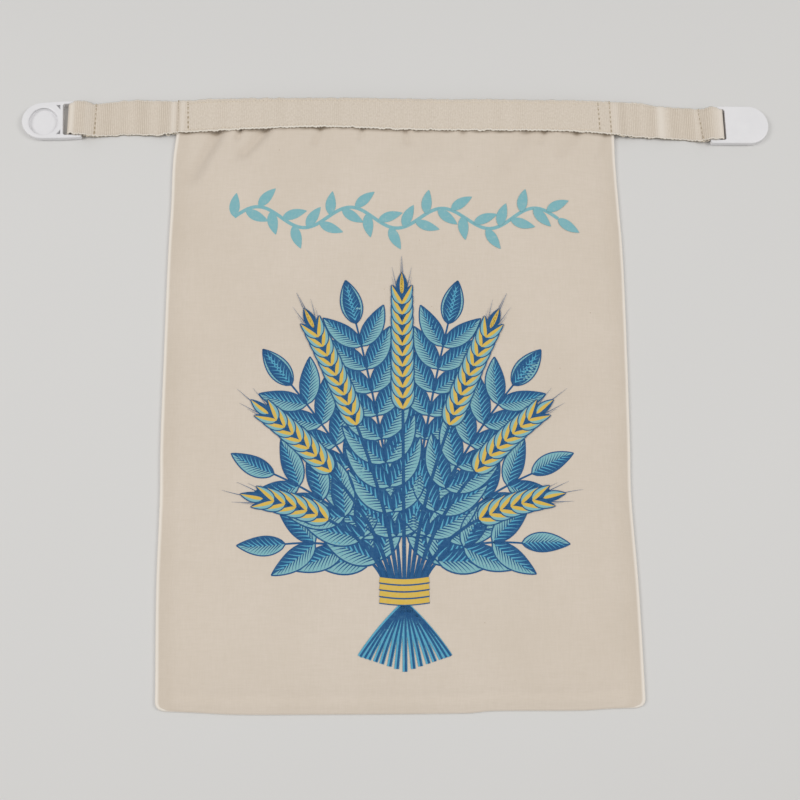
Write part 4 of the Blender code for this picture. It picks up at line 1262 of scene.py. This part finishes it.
def ribbon(line, widths, steps=1):
    """A flat strip along a line of points, as rows of points across it."""
    line, widths = np.asarray(line, float), np.asarray(widths, float)
    run = np.gradient(line, axis=0)
    run /= np.linalg.norm(run, axis=1)[:, None]
    aside = np.stack([-run[:, 1], run[:, 0]], axis=1)
    shares = np.linspace(-1, 1, steps + 1)
    return line[:, None, :] + aside[:, None, :] * (widths[:, None] / 2 * shares[None, :])[:, :, None]


def strip_faces(grids):
    """The points of several flat strips, one strip after another, and the faces between them."""
    points, faces = [], []
    for grid in grids:
        faces += grid_faces(numbered(grid, len(points)).T)
        points += grid.reshape(-1, 2).tolist()
    return points, faces


def flat_shape(name, grids):
    """A flat mesh of several strips, drawn with its root at the origin and its tip at X = 1."""
    points, faces = strip_faces(grids)
    shape = piece_from(name, [(x, y, 0.0) for x, y in points], faces)
    shape.data.shade_flat()
    return shape


def leaf_width(t, width, tip):
    """Width of a leaf along its length: a quick swell near its root and a long tip."""
    return width * np.sin(np.pi * t ** tip) ** LEAF_SWELL


def midrib(t, bend):
    """Points along the middle of a leaf that bends a little."""
    return np.stack([t, bend * np.sin(np.pi * t)], axis=-1)


def leaf_blade(width, tip, bend):
    """The whole leaf, four strips wide."""
    return ribbon(midrib(LEAF_TIMES, bend), leaf_width(LEAF_TIMES, width, tip), 4)


def leaf_half(width, tip, bend):
    """The shaded half of a leaf, on one side of its midrib."""
    return leaf_blade(width, tip, bend)[:, :3]


def leaf_veins(width, tip, bend, count, side, thick):
    """Tapered veins from the midrib towards the margin, on one side of a leaf."""
    veins = []
    for k in range(count):
        start = VEINS_FROM + VEINS_SPREAD * k / count
        end = min(start + VEIN_LEAN, VEIN_LAST)
        root = midrib(np.array([start]), bend)[0]
        reach = leaf_width(np.array([end]), width, tip)[0] / 2 * VEIN_REACH
        mouth = midrib(np.array([end]), bend)[0] + np.array([0.0, side * reach])
        t = np.linspace(0, 1, VEIN_STEPS)[:, None]
        line = root * (1 - t) + mouth * t + np.array([VEIN_BOW, 0.0]) * np.sin(np.pi * t)
        veins.append(ribbon(line, thick * (1.1 - np.linspace(0, 1, VEIN_STEPS)), 1))
    return veins


def leaf_outline(width, tip, bend, thick):
    """A line of ink round a leaf: one strip along each margin."""
    whole = leaf_blade(width, tip, bend)
    return [ribbon(whole[:, edge], np.full(len(whole), thick), 1) for edge in (0, -1)]


def sprig_tree():
    """Sets a flat shape along each stem, alternately or in pairs, and lays it on the cloth."""
    tree, given, result = new_shaping("sprigs", {
        "Shape": 'NodeSocketObject', "Pitch": 'NodeSocketFloat', "Bare": 'NodeSocketFloat',
        "Splay": 'NodeSocketFloat', "Root Size": 'NodeSocketFloat', "Tip Size": 'NodeSocketFloat',
        "Pairs": 'NodeSocketBool', "Cloth": 'NodeSocketObject', "Lift": 'NodeSocketFloat',
        "Step": 'NodeSocketFloat',
        "Ink": 'NodeSocketMaterial'})
    line = add_node(tree, "GeometryNodeMeshToCurve", {0: given["Geometry"]})
    even = add_node(tree, "GeometryNodeResampleCurve", {
        "Curve": line.outputs[0], "Length": given["Pitch"]}, mode='LENGTH')
    way = add_node(tree, "GeometryNodeSplineParameter")
    # each form lies just over the one before it, so where two meet the later one covers
    order = add_node(tree, "ShaderNodeMath", {
        0: way.outputs["Index"], 1: given["Step"]}, operation='MULTIPLY')
    raised = add_node(tree, "ShaderNodeCombineXYZ", {"Z": order.outputs[0]})
    stacked = add_node(tree, "GeometryNodeSetPosition", {
        "Geometry": even.outputs[0], "Offset": raised.outputs[0]})
    tangent = add_node(tree, "ShaderNodeSeparateXYZ", {
        0: add_node(tree, "GeometryNodeInputTangent").outputs[0]})
    heading = add_node(tree, "ShaderNodeMath", {
        0: tangent.outputs["Y"], 1: tangent.outputs["X"]}, operation='ARCTAN2')
    before_tip = add_node(tree, "ShaderNodeMath", {
        0: way.outputs["Factor"], 1: 0.999}, operation='LESS_THAN')
    splay = add_node(tree, "ShaderNodeMath", {
        0: given["Splay"], 1: before_tip.outputs[0]}, operation='MULTIPLY')
    size = add_node(tree, "ShaderNodeMapRange", {
        "Value": way.outputs["Factor"], "To Min": given["Root Size"], "To Max": given["Tip Size"]})
    leafy = add_node(tree, "FunctionNodeCompare", {
        0: way.outputs["Factor"], 1: given["Bare"]}, operation='GREATER_EQUAL')
    parity = add_node(tree, "ShaderNodeMath", {0: way.outputs["Index"], 1: 2.0}, operation='MODULO')
    shape = add_node(tree, "GeometryNodeObjectInfo", {"Object": given["Shape"]})
    joined = add_node(tree, "GeometryNodeJoinGeometry")
    paired = add_node(tree, "FunctionNodeBooleanMath", {
        0: given["Pairs"], 1: before_tip.outputs[0]}, operation='AND')
    for side, kind, both in ((1.0, 'LESS_THAN', given["Pairs"]), (-1.0, 'GREATER_THAN', paired.outputs[0])):
        turned = add_node(tree, "ShaderNodeMath", {
            0: splay.outputs[0], 1: side, 2: heading.outputs[0]}, operation='MULTIPLY_ADD')
        rotation = add_node(tree, "ShaderNodeCombineXYZ", {"Z": turned.outputs[0]})
        mirrored = add_node(tree, "ShaderNodeMath", {0: size.outputs[0], 1: side}, operation='MULTIPLY')
        scale = add_node(tree, "ShaderNodeCombineXYZ", {
            "X": size.outputs[0], "Y": mirrored.outputs[0], "Z": 1.0})
        turn_for = add_node(tree, "ShaderNodeMath", {0: parity.outputs[0], 1: 0.5}, operation=kind)
        either = add_node(tree, "FunctionNodeBooleanMath", {
            0: both, 1: turn_for.outputs[0]}, operation='OR')
        chosen = add_node(tree, "FunctionNodeBooleanMath", {
            0: either.outputs[0], 1: leafy.outputs[0]}, operation='AND')
        laid = add_node(tree, "GeometryNodeInstanceOnPoints", {
            "Points": stacked.outputs[0], "Selection": chosen.outputs[0],
            "Instance": shape.outputs["Geometry"], "Rotation": rotation.outputs[0],
            "Scale": scale.outputs[0]})
        tree.links.new(laid.outputs[0], joined.inputs[0])
    real = add_node(tree, "GeometryNodeRealizeInstances", {0: joined.outputs[0]})
    cloth = add_node(tree, "GeometryNodeObjectInfo", {"Object": given["Cloth"]})
    position = add_node(tree, "GeometryNodeInputPosition")
    above = add_node(tree, "ShaderNodeVectorMath", {
        0: position.outputs[0], 1: (0.0, 0.0, RAY_FROM)}, operation='ADD')
    ray = add_node(tree, "GeometryNodeRaycast", {
        "Target Geometry": cloth.outputs["Geometry"], "Source Position": above.outputs[0],
        "Ray Direction": (0.0, 0.0, -1.0), "Ray Length": 4 * RAY_FROM})
    level = add_node(tree, "ShaderNodeSeparateXYZ", {0: position.outputs[0]})
    height = add_node(tree, "ShaderNodeMath", {0: level.outputs["Z"], 1: given["Lift"]}, operation='ADD')
    lift = add_node(tree, "ShaderNodeCombineXYZ", {"Z": height.outputs[0]})
    rest = add_node(tree, "ShaderNodeVectorMath", {
        0: ray.outputs["Hit Position"], 1: lift.outputs[0]}, operation='ADD')
    settled = add_node(tree, "GeometryNodeSetPosition", {
        "Geometry": real.outputs[0], "Position": rest.outputs[0]})
    dressed = add_node(tree, "GeometryNodeSetMaterial", {
        "Geometry": settled.outputs[0], "Material": given["Ink"]})
    tree.links.new(dressed.outputs[0], result.inputs[0])
    return tree


def make_ink(name, colour, thin_colour):
    """Water-based screen ink: it dyes the canvas, and thins out over the tops of the threads."""
    finish, tree, shader = new_finish(name)
    place = add_node(tree, "ShaderNodeTexCoord").outputs["Object"]
    height, slubs = canvas_weave(tree, place)
    cover = add_node(tree, "ShaderNodeTexNoise", {"Vector": place, "Scale": 420.0, "Detail": 3.0})
    thin = add_node(tree, "ShaderNodeMapRange", {
        "Value": cover.outputs["Fac"], "From Min": 0.52, "From Max": 0.72, "To Max": 0.45})
    tone = add_node(tree, "ShaderNodeMapRange", {
        "Value": slubs, "From Min": 0.8, "From Max": 1.3, "To Max": 0.25})
    inked = add_node(tree, "ShaderNodeMath", {0: thin.outputs[0], 1: tone.outputs[0]}, operation='MAXIMUM')
    shade = add_node(tree, "ShaderNodeMix", {
        0: inked.outputs[0], 6: linear(colour), 7: linear(thin_colour)}, data_type='RGBA')
    bump = add_node(tree, "ShaderNodeBump", {"Strength": 0.3, "Distance": 0.00012, "Height": height})
    feed(tree, shader, {
        "Base Color": shade.outputs[2], "Normal": bump.outputs[0], "Roughness": 0.8,
        "Specular IOR Level": 0.3})
    return finish


INKS = {
    "sky": make_ink("sky blue screen ink", "#7DB4BC", "#A3C3C3"),
    "aqua": make_ink("aqua screen ink", "#4FA3C2", "#86B9C6"),
    "navy": make_ink("navy screen ink", "#1D5283", "#4A7C9F"),
    "yellow": make_ink("straw yellow screen ink", "#D8B64C", "#D9C38A"),
}

# Stems of the sheaf, from the outer ones in: degrees from upright, and reach from the tie to the tip
Stem = namedtuple("Stem", "lean reach")
LEAFY_STEMS = (Stem(-70, 0.080), Stem(-49, 0.110), Stem(-29, 0.150), Stem(-10, 0.176),
               Stem(10, 0.176), Stem(29, 0.150), Stem(49, 0.110), Stem(70, 0.080))
EAR_STEMS = (Stem(-58, 0.106), Stem(58, 0.106), Stem(-38, 0.142), Stem(38, 0.142),
             Stem(-19, 0.180), Stem(19, 0.180), Stem(0, 0.194))
TIE_UP = -0.132
TIE_HALF = 0.0125
ROOT_UP = -0.184
ROOT_HALF = 0.030
STEM_STEPS = 40
STEM_LEAN, STEM_RISE = 0.12, 0.40
ROOT_FAN, ROOT_NECK = 0.010, 0.018
LEAFY_STEM_WIDTHS, EAR_STEM_WIDTHS = (0.0022, 0.0012), (0.0026, 0.0014)
CUT_STEM_WIDTH, CUT_STEM_LINE, CUT_STEM_SHIFT = 0.0030, 0.0014, 0.0005
NEXT_STEM = 36 * INK_STEP


def bent_line(start, lean, end):
    """Points along a stem that leans from one end towards a third point."""
    t = np.linspace(0, 1, STEM_STEPS + 1)[:, None]
    return np.array(start) * (1 - t) ** 2 + np.array(lean) * 2 * t * (1 - t) + np.array(end) * t ** 2


def stem_above(stem):
    """The stretch of a stem from the tie to its tip."""
    out, up = math.sin(math.radians(stem.lean)), math.cos(math.radians(stem.lean))
    lean = (TIE_HALF * out + STEM_LEAN * stem.reach * out, TIE_UP + STEM_RISE * stem.reach)
    return bent_line((TIE_HALF * out, TIE_UP), lean, (stem.reach * out, TIE_UP + stem.reach * up))


def stem_below(stem):
    """The stretch of a stem from its cut end to the tie; the stems cross under the tie."""
    out = math.sin(math.radians(stem.lean))
    root = (-ROOT_HALF * out, ROOT_UP + ROOT_FAN * abs(out))
    return bent_line(root, (-TIE_HALF * out, TIE_UP - ROOT_NECK), (TIE_HALF * out, TIE_UP))


def stem_lines(name, lines):
    """Stems as one mesh of edges, for the sprigs to follow; every second stem lies over its neighbours."""
    points, edges = [], []
    for number, line in enumerate(lines):
        edges += [(len(points) + k, len(points) + k + 1) for k in range(len(line) - 1)]
        points += [(x, y, number % 2 * NEXT_STEM) for x, y in line]
    return piece_from(name, points, [], edges=edges)


cloth_surface = surface_of(sack)
sprigs = sprig_tree()
print_parts = {ink: [] for ink in INKS}


def print_strips(ink, grids, layer):
    """Print plain strips, such as stems, straight on the cloth."""
    points, faces = strip_faces(grids)
    points = [drop_onto(cloth_surface, x, y, INK_LIFT + layer * INK_STEP) for x, y in points]
    print_parts[ink].append(piece_from(ink + "_strips", points, faces, INKS[ink]))


def print_sprigs(ink, lines, shape, layer, **sizes):
    """Print one shape again and again along stems."""
    piece = stem_lines(ink + "_sprigs", lines)
    values = {"Shape": shape, "Cloth": sack, "Lift": INK_LIFT + layer * INK_STEP, "Step": LEAF_STEP,
              "Ink": INKS[ink]}
    values.update({name.replace("_", " ").title(): value for name, value in sizes.items()})
    print_parts[ink].append(shape_with(piece, sprigs, values))


leafy_lines = [stem_above(stem) for stem in LEAFY_STEMS]
ear_lines = [stem_above(stem) for stem in EAR_STEMS]
LEAF = dict(width=0.40, tip=0.80, bend=0.03)
GRAIN = dict(width=0.42, tip=0.72, bend=0.02)
shapes = {
    "blade": flat_shape("blade", [leaf_blade(**LEAF)]),
    "shade": flat_shape("shade", [leaf_half(**LEAF)]
                        + leaf_veins(count=11, side=1, thick=0.024, **LEAF)
                        + leaf_outline(thick=0.026, **LEAF)),
    "veins": flat_shape("veins", leaf_veins(count=8, side=-1, thick=0.026, **LEAF)),
    "grain": flat_shape("grain", [leaf_blade(**GRAIN)]),
    "husk": flat_shape("husk", [leaf_half(**GRAIN)] + leaf_outline(thick=0.050, **GRAIN)),
    "glint": flat_shape("glint", [leaf_blade(width=0.15, tip=0.62, bend=0.02)]),
    "awn": flat_shape("awn", [ribbon(midrib(np.linspace(0, 1, 9), 0.02),
                                     0.026 * (1.10 - np.linspace(0, 1, 9)))]),
}
STEM_LAYER, EAR_LAYER = -4, 76
print_strips("navy", [ribbon(line, np.linspace(*LEAFY_STEM_WIDTHS, len(line)), 2) for line in leafy_lines],
             STEM_LAYER)
LEAF_SIZES = dict(pitch=0.0158, bare=0.16, splay=math.radians(40), root_size=0.043, tip_size=0.031,
                  pairs=True)
print_sprigs("sky", leafy_lines, shapes["blade"], 0, **LEAF_SIZES)
print_sprigs("navy", leafy_lines, shapes["shade"], 1, **LEAF_SIZES)
print_sprigs("aqua", leafy_lines, shapes["veins"], 2, **LEAF_SIZES)
AWN_SIZES = dict(pitch=0.0070, bare=0.56, splay=math.radians(14), root_size=0.031, tip_size=0.027,
                 pairs=True)
print_sprigs("navy", ear_lines, shapes["awn"], EAR_LAYER - 1, **AWN_SIZES)
print_strips("navy", [ribbon(line, np.linspace(*EAR_STEM_WIDTHS, len(line)), 2) for line in ear_lines],
             EAR_LAYER - 2)
GRAIN_SIZES = dict(pitch=0.0070, bare=0.56, splay=math.radians(27), root_size=0.0185, tip_size=0.0150,
                   pairs=True)
print_sprigs("sky", ear_lines, shapes["grain"], EAR_LAYER, **GRAIN_SIZES)
print_sprigs("navy", ear_lines, shapes["husk"], EAR_LAYER + 1, **GRAIN_SIZES)
print_sprigs("yellow", ear_lines, shapes["glint"], EAR_LAYER + 2, **GRAIN_SIZES)
cut_stems = [stem_below(stem) for stem in LEAFY_STEMS + EAR_STEMS]
print_strips("aqua", [ribbon(line, np.full(len(line), CUT_STEM_WIDTH), 2) for line in cut_stems], EAR_LAYER)
print_strips("navy", [ribbon(line + (CUT_STEM_SHIFT, 0.0), np.full(len(line), CUT_STEM_LINE), 2)
                      for line in cut_stems], EAR_LAYER + 1)

# Tie of the sheaf: a band of four turns round the stems
TIE_TURNS, TIE_STEPS = 4, 8
TIE_REACH = 1.25 * TIE_HALF
TIE_LOW, TIE_PITCH, TIE_SAG = TIE_UP - 0.008, 0.0042, 0.0014
tie_turns = [[(TIE_REACH * (2 * k / TIE_STEPS - 1),
               TIE_LOW + TIE_PITCH * row - TIE_SAG * math.sin(math.pi * k / TIE_STEPS))
              for k in range(TIE_STEPS + 1)] for row in range(TIE_TURNS)]
for ink, width, layer in (("navy", 0.0046, EAR_LAYER + 2), ("yellow", 0.0032, EAR_LAYER + 3)):
    print_strips(ink, [ribbon(turn, np.full(len(turn), width), 2) for turn in tie_turns], layer)

# Garland in the upper part of the front: a waving stem with leaves to both sides
GARLAND_FROM, GARLAND_TO = -0.113, 0.107
GARLAND_UP, GARLAND_WAVE, GARLAND_WAVES = 0.1165, 0.0075, 3.5
GARLAND_STEM, GARLAND_STEPS = 0.0024, 120
garland_x = np.linspace(GARLAND_FROM, GARLAND_TO, GARLAND_STEPS)
garland_turn = 2 * math.pi * GARLAND_WAVES * (garland_x - GARLAND_FROM) / (GARLAND_TO - GARLAND_FROM)
garland = np.stack([garland_x, GARLAND_UP + GARLAND_WAVE * np.sin(garland_turn)], axis=1)
print_strips("sky", [ribbon(garland, np.full(len(garland), GARLAND_STEM), 2)], 0)
print_sprigs("sky", [garland], shapes["blade"], 1, pitch=0.0090, bare=0.0, splay=math.radians(52),
             root_size=0.0175, tip_size=0.0175, pairs=False)

for ink, parts in print_parts.items():
    with bpy.context.temp_override(active_object=parts[0], selected_editable_objects=parts,
                                   selected_objects=parts):
        bpy.ops.object.join()
    parts[0].name = "print_" + ink
    parts[0].data.name = parts[0].name
    turn_up(parts[0])
    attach(parts[0], "root")
for shape in shapes.values():
    bpy.data.objects.remove(shape)

# The bag lies on a plain pale table and is seen from above, from a little in front of it. Two
# large softboxes light it from the left and the right, and a pale room fills the shadows.
TABLE_SIZE = 3.0
TABLE_THICK = 0.02
TILT = math.radians(13.8)
YAW = math.radians(1.9)
EYE = Vector((-0.02713, -0.19279, 0.75027))
LENS = 52.5
SENSOR_WIDTH = 36

# The two softboxes, aimed at the middle of the bag: name, place and power
SOFTBOXES = (("softbox_left", (-1.9, -0.04, 2.1), 27.2), ("softbox_right", (1.9, 0.14, 2.1), 24.6))
SOFTBOX_SIZE = 1.2
ROOM_STRENGTH = 0.52


def make_table_finish():
    """Pale satin laminate: one quiet tone with the faintest cloudiness."""
    finish, tree, shader = new_finish("pale laminate")
    place = add_node(tree, "ShaderNodeTexCoord").outputs["Object"]
    cloudy = add_node(tree, "ShaderNodeTexNoise", {"Vector": place, "Scale": 3.0, "Detail": 2.0})
    tone = add_node(tree, "ShaderNodeMix", {
        0: cloudy.outputs["Fac"], 6: linear("#D8D7D5"), 7: linear("#DCDBD9")}, data_type='RGBA')
    feed(tree, shader, {"Base Color": tone.outputs[2], "Roughness": 0.75, "Specular IOR Level": 0.2})
    return finish


half_table = TABLE_SIZE / 2
corners = [(-half_table, -half_table), (half_table, -half_table), (half_table, half_table),
           (-half_table, half_table)]
table = prism("table_top", corners, -TABLE_THICK, 0.0, make_table_finish())

for name, place, power in SOFTBOXES:
    lamp = bpy.data.lights.new(name, 'AREA')
    lamp.shape = 'SQUARE'
    lamp.size = SOFTBOX_SIZE
    lamp.energy = power
    softbox = placed(name, lamp)
    softbox.location = place
    softbox.rotation_euler = (-Vector(place)).to_track_quat("-Z", "Y").to_euler()
world = bpy.data.worlds.new("room")
world.use_nodes = True
room = world.node_tree.nodes["Background"].inputs
room["Color"].default_value = linear("#F6F5F4")
room["Strength"].default_value = ROOM_STRENGTH
bpy.context.scene.world = world

camera = placed("camera", bpy.data.cameras.new("camera"))
camera.data.lens = LENS
camera.data.sensor_width = SENSOR_WIDTH
ahead = Vector((0, math.sin(TILT), -math.cos(TILT)))
look = ahead * math.cos(YAW) + Vector((1, 0, 0)) * math.sin(YAW)
side = Vector((1, 0, 0)) * math.cos(YAW) - ahead * math.sin(YAW)
turn = Matrix((side, look.cross(side) * -1, -look)).transposed()
camera.matrix_world = Matrix.Translation(EYE) @ turn.to_4x4()
bpy.context.scene.camera = camera
bpy.context.scene.view_settings.view_transform = 'Standard'
